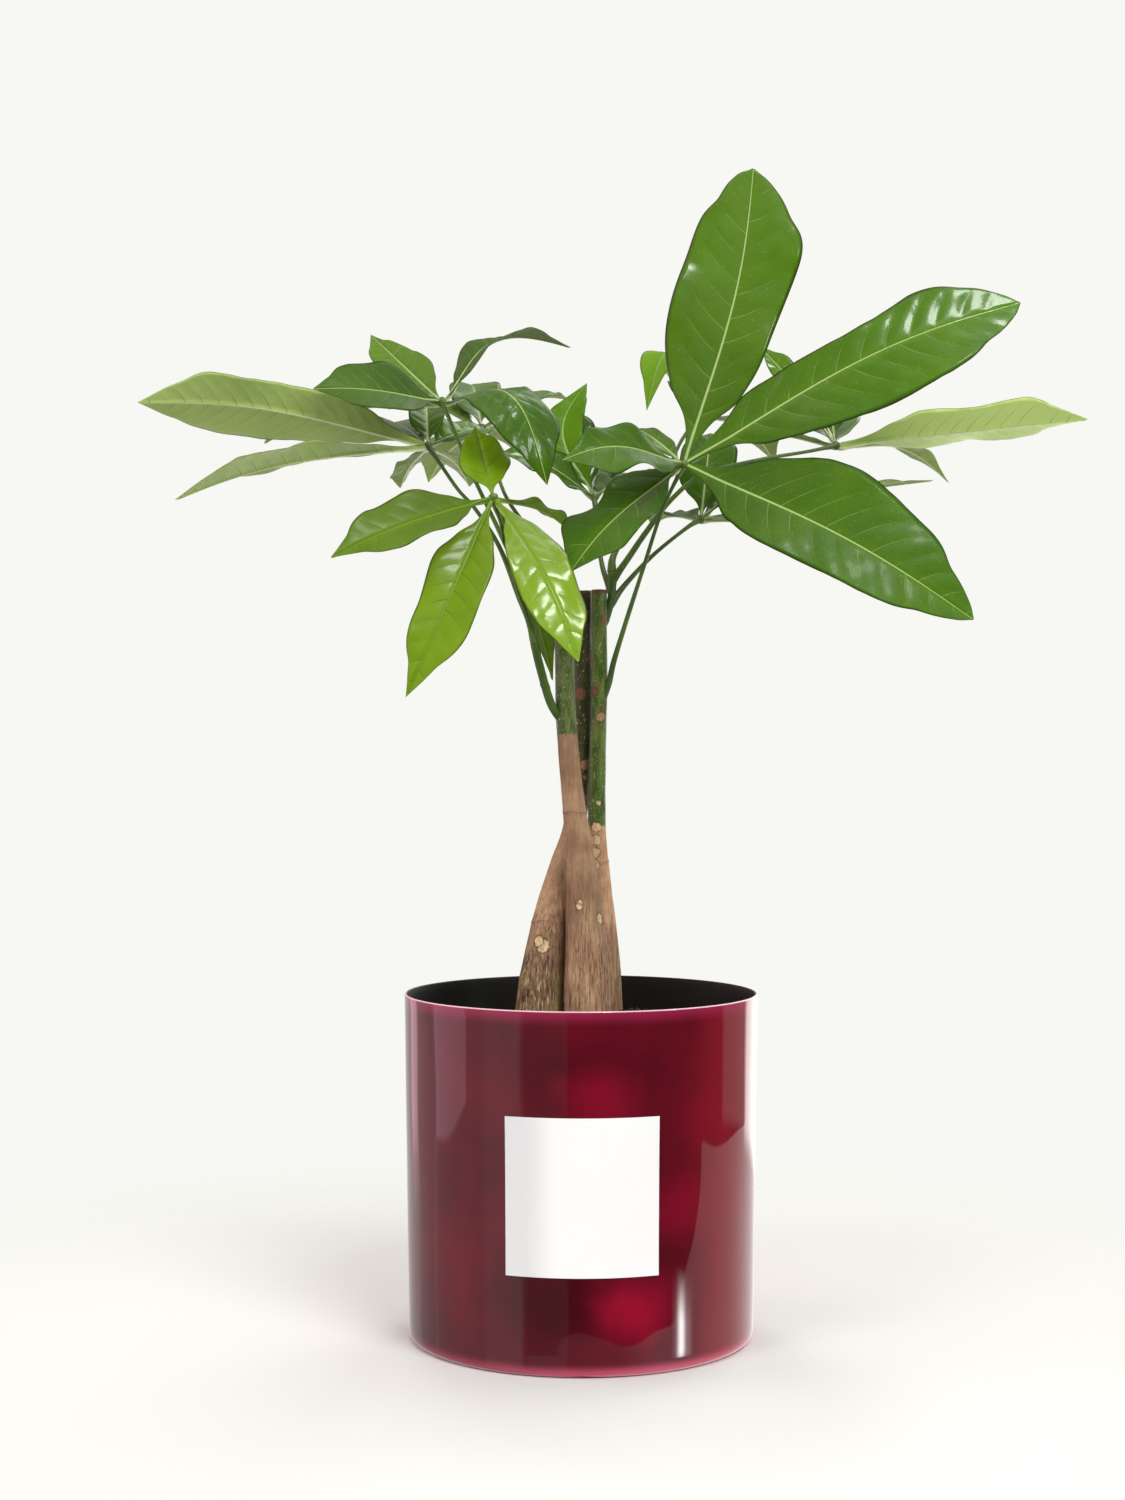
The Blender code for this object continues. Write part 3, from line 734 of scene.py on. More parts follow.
bm = bmesh.new()
soil_radius = wall_radius(SOIL_LINE) - POT_WALL - SOIL_CLEARANCE
centre = bm.verts.new((0, 0, soil_height(0, 0)))
rings = []
for ring_number in range(1, SOIL_RINGS + 1):
    radius = soil_radius * ring_number / SOIL_RINGS
    ring = []
    for side in range(SOIL_SIDES):
        angle = 2 * math.pi * side / SOIL_SIDES
        x, y = radius * math.cos(angle), radius * math.sin(angle)
        ring.append(bm.verts.new((x, y, soil_height(x, y))))
    rings.append(ring)
foot_radius = wall_radius(0) - POT_WALL - FOOT_ROUNDING
foot = []
for side in range(SOIL_SIDES):
    angle = 2 * math.pi * side / SOIL_SIDES
    foot.append(bm.verts.new((foot_radius * math.cos(angle), foot_radius * math.sin(angle), POT_FLOOR)))
for side in range(SOIL_SIDES):
    after = (side + 1) % SOIL_SIDES
    bm.faces.new((centre, rings[0][side], rings[0][after]))
    for near, far in zip(rings, rings[1:] + [foot]):
        bm.faces.new((near[side], far[side], far[after], near[after]))
bm.faces.new(reversed(foot))
bmesh.ops.recalc_face_normals(bm, faces=bm.faces)
soil_mesh = bpy.data.meshes.new("soil_plug")
bm.to_mesh(soil_mesh)
bm.free()
soil_mesh.shade_smooth()
soil = bpy.data.objects.new("soil_plug", soil_mesh)
bpy.context.scene.collection.objects.link(soil)
print("soil triangles:", count_triangles(soil_mesh))

# %% Colour the potting mix
earth, graph, shader, place = new_material("potting_soil", {"Specular IOR Level": 0.25})
grain = graph.noise(place, 900, detail=4, roughness=0.7)
damp = graph.noise(place, 45, detail=2)
earth_colour = graph.mix(grain, (0.008, 0.005, 0.003), (0.060, 0.034, 0.019))
earth_colour = graph.mix(graph.ease(damp, 0.4, 0.7) * 0.5, earth_colour, (0.010, 0.006, 0.004))
feed(graph, shader, {
    "Base Color": earth_colour,
    "Roughness": 0.95 - graph.ease(damp, 0.45, 0.7) * 0.2,
    "Normal": bump(graph, grain, 0.8, 0.0012),
})
soil_mesh.materials.append(earth)
place_piece(soil, "potting_soil", "soil")

# %% [markdown]
# The rule for crumbs takes points and puts a knobbly ball on each, every one with its own size, turn
# and squash. Chips use the same rule, only flatter. The points are dropped on the mound with a seeded
# random draw, so the same bed comes out each time.

# %% Strew crumbs and chips
graph, inputs = start_rule("crumbs", {
    "Roundness": "Float",
    "Knobbliness": "Float",
    "Seed": "Int",
    "Material": "Material",
})
ball = graph.node("GeometryNodeMeshIcoSphere", sockets={"Radius": 1.0, "Subdivisions": 1})
turn = graph.node(
    "FunctionNodeRandomValue",
    {"data_type": "FLOAT_VECTOR"},
    {"Min": (0, 0, 0), "Max": (6.28, 6.28, 6.28), "Seed": inputs["Seed"]},
)
flat_turn = graph.vector("MULTIPLY", turn, graph.join(inputs["Roundness"], inputs["Roundness"], 1.0))
size = carried(graph, "size")
squash = graph.join(size, size * 0.75, size * inputs["Roundness"])
strewn = graph.node("GeometryNodeInstanceOnPoints", sockets={
    "Points": inputs["Geometry"],
    "Instance": ball,
    "Rotation": flat_turn,
    "Scale": squash,
})
real = graph.node("GeometryNodeRealizeInstances", sockets={0: strewn})
place = graph.node("GeometryNodeInputPosition")
knobs = graph.noise(place, 420, detail=1) - 0.5
normal = graph.node("GeometryNodeInputNormal")
push = graph.vector("SCALE", normal, knobs * inputs["Knobbliness"] * carried(graph, "size"))
knobbly = graph.node("GeometryNodeSetPosition", sockets={"Geometry": real, "Offset": push})
crumb_rule = finish_rule(graph, knobbly, inputs["Material"])

draw = np.random.default_rng(7)


def strew(name, count, sizes, roundness, knobbliness, finish):
    points, chosen = [], []
    while len(points) < count:
        x, y = draw.uniform(-soil_radius, soil_radius, 2)
        size = draw.uniform(*sizes)
        if math.hypot(x, y) < soil_radius - size:
            points.append((x, y, soil_height(x, y) + size * roundness * draw.uniform(-0.2, 0.5)))
            chosen.append(size)
    values = {"Roundness": roundness, "Knobbliness": knobbliness, "Seed": 3, "Material": finish}
    made = run_rule(crumb_rule, name, points, [], values, {"size": chosen})
    made.data.shade_flat()
    place_piece(made, "potting_soil", "soil")
    print(name, "triangles:", count_triangles(made.data))


chip, graph, shader, place = new_material("bark_chip", {"Specular IOR Level": 0.3})
grain = graph.noise(place, 700, detail=3)
tone = graph.noise(place, 130, detail=1)
chip_colour = graph.mix(grain, (0.018, 0.010, 0.006), (0.075, 0.042, 0.022))
feed(graph, shader, {
    "Base Color": graph.mix(graph.ease(tone, 0.55, 0.7) * 0.6, chip_colour, (0.14, 0.088, 0.050)),
    "Roughness": 0.8 + grain * 0.15,
    "Normal": bump(graph, grain, 0.7, 0.0008),
})
strew("soil_crumbs", 900, (0.0009, 0.0024), 0.8, 1.6, earth)
strew("soil_chips", 150, (0.0025, 0.0052), 0.28, 0.8, chip)

# %% [markdown]
# ## Wood along a line
#
# A trunk, a shoot and a leaf stalk are all the same rule: a round section follows a line and swells
# or thins with a radius that the line's points carry. The rule then presses fibre grooves and slow
# lumps into the skin, and raises a ring where a leaf once sat. A curve with a bevel could give the
# tube, but not the skin, so the whole of it is one Geometry Nodes tree.

# %% Write the rule for stems
graph, inputs = start_rule("stem", {
    "Ring Spacing": "Float",
    "Sides": "Int",
    "Groove Depth": "Float",
    "Lump Height": "Float",
    "Scar Height": "Float",
    "Lower Scar": "Float",
    "Upper Scar": "Float",
    "Rough Below": "Float",
    "Material": "Material",
})
SCAR_HALF_WIDTH = 0.0013
line = graph.node("GeometryNodeMeshToCurve", sockets={0: inputs["Geometry"]})
line = graph.node(
    "GeometryNodeResampleCurve", {"mode": "LENGTH"}, {"Curve": line, "Length": inputs["Ring Spacing"]}
)
section = graph.node("GeometryNodeCurvePrimitiveCircle", sockets={"Resolution": inputs["Sides"], "Radius": 1.0})
tube = graph.node("GeometryNodeCurveToMesh", sockets={
    "Curve": line,
    "Profile Curve": section,
    "Scale": carried(graph, "radius"),
    "Fill Caps": True,
})
place = graph.node("GeometryNodeInputPosition")
x, y, z = graph.split(place)
normal = graph.node("GeometryNodeInputNormal")
fibre_place = graph.vector("MULTIPLY", place, (1.0, 1.0, 0.10))
fibres = graph.noise(fibre_place, 620, detail=2, roughness=0.6) - 0.5
coarse = graph.noise(fibre_place, 260, detail=1) - 0.5
lumps = graph.noise(graph.vector("MULTIPLY", place, (1.0, 1.0, 0.5)), 70, detail=1) - 0.5
rough = 0.35 + graph.ease(z, inputs["Rough Below"], inputs["Rough Below"] - 0.05) * 0.9
skin = (fibres + coarse * 0.8) * inputs["Groove Depth"] * rough + lumps * inputs["Lump Height"]
waves = (graph.noise(place, 90, detail=1) - 0.5) * 0.006
for scar in ("Lower Scar", "Upper Scar"):
    away = abs(z + waves - inputs[scar]) / SCAR_HALF_WIDTH
    skin = skin + graph.ease(away, 1.0, 0.0) * inputs["Scar Height"]
moved = graph.node(
    "GeometryNodeSetPosition", sockets={"Geometry": tube, "Offset": graph.vector("SCALE", normal, skin)}
)
stem_rule = finish_rule(graph, moved, inputs["Material"])
print("stem rule nodes:", len(stem_rule.nodes))

# %% [markdown]
# The trunks' lines are the CAD model's own rows of x, y, height over the soil and radius, in
# millimetres, joined by a smooth curve through every row.

# %% Draw the trunks' lines
TRUNK_FOOT = -60
TRUNKS = {
    "front": [
        (4, -7, TRUNK_FOOT, 9), (4, -7, 0, 13), (3, -7, 50, 11.2), (1, -8, 80, 9.2), (-2, -9, 110, 7.0),
        (-5, -10, 135, 5.9), (-8, -10, 170, 5.5), (-9, -9, 205, 5.2), (-9, -8, 242, 4.9),
    ],
    "left": [
        (-26, 3, TRUNK_FOOT, 9), (-24, 3, 0, 13), (-18, 6, 50, 11.2), (-11, 10, 84, 8.4),
        (-4, 12, 110, 6.4), (0, 11, 140, 5.7), (1, 9, 180, 5.4), (1, 8, 242, 5.0),
    ],
    "right": [
        (15, 21, TRUNK_FOOT, 8), (13, 19, 0, 10.5), (12, 15, 50, 8.4), (10, 10, 82, 6.6), (9, 5, 110, 5.0),
        (9, 1, 145, 4.7), (10, 0, 190, 4.5), (10, 1, 242, 4.2),
    ],
}
SHOOTS = {
    "left": [
        (-9, -9, 168, 2.0), (-16, -14, 179, 2.3), (-21, -18, 195, 2.3), (-25, -20, 212, 2.3),
        (-28, -20, 234, 2.5),
    ],
    "right": [(10, 1, 218, 2.0), (14, 3, 227, 2.2), (17, 5, 240, 2.2), (17, 6, 256, 2.5)],
}


def over_soil(rows):
    """Rows in millimetres over the soil line, as metres over the floor."""
    table = np.array(rows, dtype=float) * MM
    table[:, 2] += SOIL_LINE
    return table


def smooth_line(rows, spacing):
    """Rows on a smooth curve through the given ones, about one spacing apart."""
    padded = np.vstack([2 * rows[0] - rows[1], rows, 2 * rows[-1] - rows[-2]])
    line = [rows[0]]
    for before, start, end, after in zip(padded, padded[1:], padded[2:], padded[3:]):
        steps = max(1, round(np.linalg.norm((end - start)[:3]) / spacing))
        for t in np.arange(1, steps + 1) / steps:
            along = (end - before) * t
            square = (2 * before - 5 * start + 4 * end - after) * t**2
            cube = (3 * start - before - 3 * end + after) * t**3
            line.append(start + 0.5 * (along + square + cube))
    return np.array(line)


def grow_stem(name, line, values):
    """Run the stem rule along rows of x, y, z and radius."""
    edges = [(place, place + 1) for place in range(len(line) - 1)]
    made = run_rule(stem_rule, name, line[:, :3], edges, values, {"radius": line[:, 3]})
    made.data.shade_smooth()
    return made


# %% [markdown]
# The trunks were sawn off. A sawn end shows pale pith in a darker ring of bark, and it dries hollow,
# so the flat end that the rule leaves is inset and pushed in a little, and gets its own finish.

# %% Saw the tops off
def saw_end(mesh, sides, rim, hollow):
    """Inset the top cap of a stem: a bark rim, then a face sunk by the hollow."""
    bm = bmesh.new()
    bm.from_mesh(mesh)
    caps = [face for face in bm.faces if len(face.verts) == sides]
    top = max(caps, key=lambda face: face.calc_center_median().z)
    bmesh.ops.inset_region(bm, faces=[top], thickness=rim, depth=0)
    bmesh.ops.inset_region(bm, faces=[top], thickness=rim, depth=-hollow)
    top.material_index = 1
    for edge in top.edges:
        for face in edge.link_faces:
            face.material_index = 1
    fan = bmesh.ops.poke(bm, faces=[top])
    bmesh.ops.translate(bm, vec=(0, 0, -hollow), verts=fan["verts"])
    for face in fan["faces"]:
        face.material_index = 1
    bm.to_mesh(mesh)
    bm.free()
    mesh.set_sharp_from_angle(angle=math.radians(50))


# %% [markdown]
# ## Bark
#
# The lower wood is tan and smooth, with long pale dashes and dark cracks that crowd together at the
# foot. Above a clear line each stem is still green, freckled with small pale pores. The change
# follows the height, with an edge that a little noise makes uneven. Torn patches of tan inner bark
# sit where the photo has them, each one a distance from a point on the stem.

# %% Mix the bark
TAN = (0.285, 0.158, 0.090)
PALE_TAN = (0.43, 0.265, 0.155)
DARK_BARK = (0.085, 0.048, 0.026)
CRACK = (0.030, 0.018, 0.010)
INNER_BARK = (0.86, 0.60, 0.33)
STRAW = (0.56, 0.38, 0.21)
STEM_GREEN = (0.040, 0.080, 0.011)
STEM_GREEN_LIGHT = (0.120, 0.175, 0.036)
# The left trunk's upper stem is partly its own brown-green and partly painted shade: these browns are dark because it
# stands behind the other two trunks.
STEM_BROWN_IN_PAINTED_SHADE = (0.038, 0.040, 0.012)
STEM_BROWN_PALE_IN_PAINTED_SHADE = (0.082, 0.078, 0.027)
PORE = (0.30, 0.33, 0.16)
RUST = (0.20, 0.085, 0.040)
ROSE_TAN = (0.40, 0.22, 0.14)
TRUNK_TOP = SOIL_LINE + 0.242


def bark(name, green_from, scars, patches, tints, greens):
    """green_from is the height where brown turns to green, and a patch is a place, a reach and a colour.

    tints are how pale the brown is above and at the foot, partly painted light and shade, as each
    trunk's brown is made paler or darker by how the light falls on it, how cracked the foot is and how
    mossy, and greens the dark and light green.
    """
    made, graph, shader, place = new_material(name, {"Specular IOR Level": 0.4})
    x, y, z = graph.split(place)
    ragged = graph.noise(place, 700, detail=3, roughness=0.65)
    long_place = graph.vector("MULTIPLY", place, (1.0, 1.0, 0.09))
    threads = graph.noise(long_place, 1500, detail=3, roughness=0.65)
    strands = graph.noise(long_place, 560, detail=2, roughness=0.6)
    cloud = graph.noise(place, 55, detail=3, roughness=0.6)
    foot = graph.ease(z, SOIL_LINE + 0.095, SOIL_LINE + 0.020)
    colour = graph.mix(graph.ease(cloud, 0.35, 0.7), TAN, PALE_TAN)
    colour = graph.mix(graph.ease(strands, 0.56, 0.42) * (0.16 + foot * 0.34), colour, DARK_BARK)
    # Painted light and shade: the brown is scaled per trunk, paler on the trunks that face the light and darker at the
    # foot of the left one, which lies in shade.
    tint = tints[0] + (tints[1] - tints[0]) * graph.ease(z, SOIL_LINE + 0.070, SOIL_LINE + 0.034)
    colour = graph.vector("SCALE", colour, tint)
    short_place = graph.vector("MULTIPLY", place, (1.0, 1.0, 0.13))
    dashes = graph.ease(graph.noise(short_place, 900, detail=2), 0.585, 0.64)
    low_foot = graph.ease(z, SOIL_LINE + 0.060, SOIL_LINE + 0.005)
    flecked = foot * tints[2] * 0.55 + low_foot * 0.45
    colour = graph.mix(dashes * (0.12 + flecked), colour, STRAW)
    cracks = graph.ease(threads, 0.42, 0.35) * (0.22 + foot * tints[2] * 0.7)
    splits = graph.ease(graph.noise(short_place, 560, detail=3, roughness=0.6), 0.42, 0.36) * foot * tints[2]
    cracks = graph.math("MAXIMUM", cracks, splits)
    colour = graph.mix(cracks, colour, CRACK)
    moss = graph.ease(cloud, 0.44, 0.58) * graph.ease(z, SOIL_LINE + 0.048, SOIL_LINE + 0.018) * tints[3]
    colour = graph.mix(moss, colour, (0.26, 0.23, 0.07))
    streaks = graph.noise(graph.vector("MULTIPLY", place, (1.0, 1.0, 0.22)), 300, detail=3, roughness=0.7)
    green_skin = graph.mix(graph.ease(streaks * 0.7 + cloud * 0.3, 0.38, 0.62), *greens)
    pores = graph.ease(graph.noise(graph.vector("MULTIPLY", place, (1.0, 1.0, 0.55)), 1150, detail=0), 0.70, 0.76)
    green_skin = graph.mix(pores * 0.8, green_skin, PORE)
    rust = graph.ease(graph.noise(graph.vector("MULTIPLY", place, (1.0, 1.0, 0.4)), 260, detail=2), 0.635, 0.68)
    green_skin = graph.mix(rust * 0.75, green_skin, RUST)
    line = z + (ragged - 0.5) * 0.004
    turned_green = graph.ease(line, green_from - 0.0006, green_from + 0.0006)
    colour = graph.mix(turned_green, colour, green_skin)
    for scar in scars:
        wander = (graph.noise(place, 90, detail=1) - 0.5) * 0.006
        ring = graph.ease(abs(z + wander - scar), 0.0007, 0.0002) * graph.ease(cloud, 0.30, 0.55)
        colour = graph.mix(ring * 0.38, colour, DARK_BARK)
    torn = graph.ease(z, TRUNK_TOP + 1, TRUNK_TOP + 2)
    for centre, reach, flesh in patches:
        spot = tuple(value * MM for value in centre)
        away = graph.vector("DISTANCE", place, spot).output("Value") + (ragged - 0.5) * 0.0028
        patch = graph.ease(away, reach * MM, reach * MM * 0.84)
        colour = graph.mix(graph.ease(away, reach * MM * 1.22, reach * MM) * 0.55, colour, DARK_BARK)
        darker = tuple(value * 0.68 for value in flesh)
        colour = graph.mix(patch, colour, graph.mix(graph.ease(threads, 0.35, 0.6), darker, flesh))
        torn = graph.math("MAXIMUM", torn, patch)
    browned = graph.ease(z + (ragged - 0.5) * 0.006, TRUNK_TOP - 0.0030, TRUNK_TOP - 0.0018)
    colour = graph.mix(browned, colour, (0.115, 0.052, 0.028))
    rough_bark = 0.72 + strands * 0.2
    skin = rough_bark * (1 - turned_green) + (0.24 + streaks * 0.22) * turned_green
    depth = strands * 0.5 + threads * 0.5 + dashes * 0.25 - cracks * 0.6
    depth = depth * (1 - turned_green * 0.75) + pores * turned_green * 0.3
    depth = depth - torn * 0.5
    feed(graph, shader, {
        "Base Color": colour,
        "Roughness": skin,
        "Normal": bump(graph, depth, 0.80, 0.0012),
    })
    return made


# %% [markdown]
# Each trunk has its own heights for the green line and for the rings, read off the photo.

# %% Grow the trunks
sawn, graph, shader, place = new_material("sawn_wood", {"Specular IOR Level": 0.25})
grain = graph.noise(place, 1400, detail=3)
feed(graph, shader, {
    "Base Color": graph.mix(grain, (0.075, 0.042, 0.026), (0.30, 0.19, 0.12)),
    "Roughness": 0.85 + grain * 0.1,
    "Normal": bump(graph, grain, 0.8, 0.0008),
})
TRUNK_SECTION = 72
TRUNK_FINE_RING = 0.0011
GREENS = (STEM_GREEN, STEM_GREEN_LIGHT)
FRONT_GREENS = ((0.045, 0.078, 0.015), (0.150, 0.180, 0.060))
# The first two tints of each trunk are partly painted light and shade.
WOOD = {
    "front": (163, (121, -30), (1.02, 1.50, 0.55, 0.05), FRONT_GREENS, [
        ((-1.7, -19, 234), 3.0, INNER_BARK), ((-0.9, -19, 236), 2.4, INNER_BARK),
        ((10.7, -15, 228), 2.3, INNER_BARK), ((10.9, -15, 226), 2.0, INNER_BARK),
    ]),
    # The left trunk's greens are dark browns, partly painted shade.
    "left": (130, (61, -30), (1.3, 0.84, 0.85, 0.6), (STEM_BROWN_IN_PAINTED_SHADE, STEM_BROWN_PALE_IN_PAINTED_SHADE), [
        ((-20.9, -7.6, 212), 4.6, INNER_BARK), ((-24.0, -6.4, 214.5), 4.2, INNER_BARK),
        ((-0.4, 4, 349), 3.6, RUST), ((2.9, 4.2, 310), 3.4, ROSE_TAN), ((3.2, 4.2, 303), 2.6, ROSE_TAN),
    ]),
    "right": (113, (93, -30), (1.9, 1.2, 0.4, 0.1), GREENS, [
        ((10.4, -4, 289), 2.9, INNER_BARK), ((11.8, -3.6, 283), 2.0, INNER_BARK),
        ((7.7, 1.8, 255), 2.9, INNER_BARK), ((7.9, 1.2, 262), 2.9, INNER_BARK),
        ((8.2, 0.6, 269), 2.9, INNER_BARK), ((8.4, 0.2, 276), 2.8, INNER_BARK),
        ((13.9, -3, 389), 3.1, RUST), ((7.1, -4, 350), 2.6, RUST), ((11, -4, 336), 2.6, ROSE_TAN),
    ]),
}
for side, (green_over, rings_over, tints, greens, patches) in WOOD.items():
    scars = [SOIL_LINE + over * MM for over in rings_over]
    finish = bark("bark_" + side, SOIL_LINE + green_over * MM, scars, patches, tints, greens)
    trunk = grow_stem("trunk_" + side + "_wood", smooth_line(over_soil(TRUNKS[side]), 0.002), {
        "Ring Spacing": TRUNK_FINE_RING,
        "Sides": TRUNK_SECTION,
        "Groove Depth": 0.0008,
        "Lump Height": 0.0009,
        "Scar Height": 0.0003,
        "Lower Scar": scars[0],
        "Upper Scar": scars[1],
        "Rough Below": SOIL_LINE + 0.065,
        "Material": finish,
    })
    trunk.data.materials.append(sawn)
    saw_end(trunk.data, TRUNK_SECTION, 0.0006, 0.0005)
    place_piece(trunk, "bark", "trunk_" + side)
    print(trunk.name, "triangles:", count_triangles(trunk.data))

# %% [markdown]
# ## Green shoots and leaf stalks
#
# New growth is smooth and green. The shoots leave the trunks below the cuts, and every leaf hangs on
# a long stalk with a thicker joint at both ends, which is how the plant turns its leaves to the light.

# %% Mix the green of young stems
def stem_green(name, dark, light):
    made, graph, shader, place = new_material(name, {"Specular IOR Level": 0.45})
    long_place = graph.vector("MULTIPLY", place, (1.0, 1.0, 0.15))
    threads = graph.noise(long_place, 1400, detail=2)
    cloud = graph.noise(place, 40, detail=2)
    colour = graph.mix(graph.ease(cloud, 0.3, 0.7), dark, light)
    feed(graph, shader, {
        "Base Color": graph.mix(graph.ease(threads, 0.6, 0.8) * 0.4, colour, PORE),
        "Roughness": 0.34 + threads * 0.2,
        "Normal": bump(graph, threads, 0.25, 0.0002),
    })
    return made


mature_stem = stem_green("mature_stem", (0.040, 0.084, 0.011), (0.090, 0.160, 0.022))
young_stem = stem_green("young_stem", (0.075, 0.130, 0.014), (0.150, 0.240, 0.028))
SMOOTH_STEM = {
    "Ring Spacing": 0.0016,
    "Sides": 20,
    "Groove Depth": 0.00012,
    "Lump Height": 0.0002,
    "Scar Height": 0.0003,
    "Rough Below": 0.0,
}
SHOOT_TIP = 0.35
for side, rows in SHOOTS.items():
    line = smooth_line(over_soil(rows), 0.0015)
    thinning = np.clip((len(line) - 1 - np.arange(len(line))) / 3, SHOOT_TIP, 1)
    line[:, 3] *= thinning
    middle = (line[0, 2] + line[-1, 2]) / 2
    scars = {"Lower Scar": middle - 0.012, "Upper Scar": middle + 0.010}
    shoot = grow_stem("shoot_" + side, line, {**SMOOTH_STEM, **scars, "Sides": 28, "Material": mature_stem})
    place_piece(shoot, "bark", {"left": "trunk_front", "right": "trunk_right"}[side])
    print(shoot.name, "triangles:", count_triangles(shoot.data))

# %% [markdown]
# ## Leaves
#
# A leaf of this tree is a hand of five to seven leaflets on one knuckle. Every leaflet follows the
# same rule: a blade widens past its middle and runs out in a point, bows like a spring, folds up
# from its midrib and ripples at the margin. The side veins pull it into shallow quilting. So the
# leaves are written down as tables, the same as in the CAD model, and a rule turns each row into a
# blade. The lengths in the tables are millimetres, with heights over the soil line.

# %% Write down the leaves
def leaflet(
    tip, width, facing=(0, 0, 1), bow=8.0, sway=0.0, fold=0.2, wave=1.6, point=1.0,
    quilt=0.4, left=None, right=None, shade=1.0, tone=None, wax=1.0,
):
    """One blade: its tip, its full width, the way its upper side looks, and how it bends.

    quilt is how far it bulges between its veins. left and right are how each margin swings out and
    in, as the shares of a half, a whole and one and a half waves along the blade. shade
    is how pale its green is, partly painted light and shade, as leaflets that lie in shade or that the
    light shines through are made paler and others darker. tone, from 0 to 1, leads from the skin's
    dark green to its light one. wax, from 0 to 1, is how smooth the skin is, so how sharp its highlights are.
    """
    return {
        "wax": wax,
        "quilt": quilt,
        "shade": shade,
        "tone": tone,
        "left": left,
        "right": right,
        "tip": tip,
        "width": width,
        "facing": facing,
        "bow": bow,
        "sway": sway,
        "fold": fold,
        "wave": wave,
        "point": point,
    }
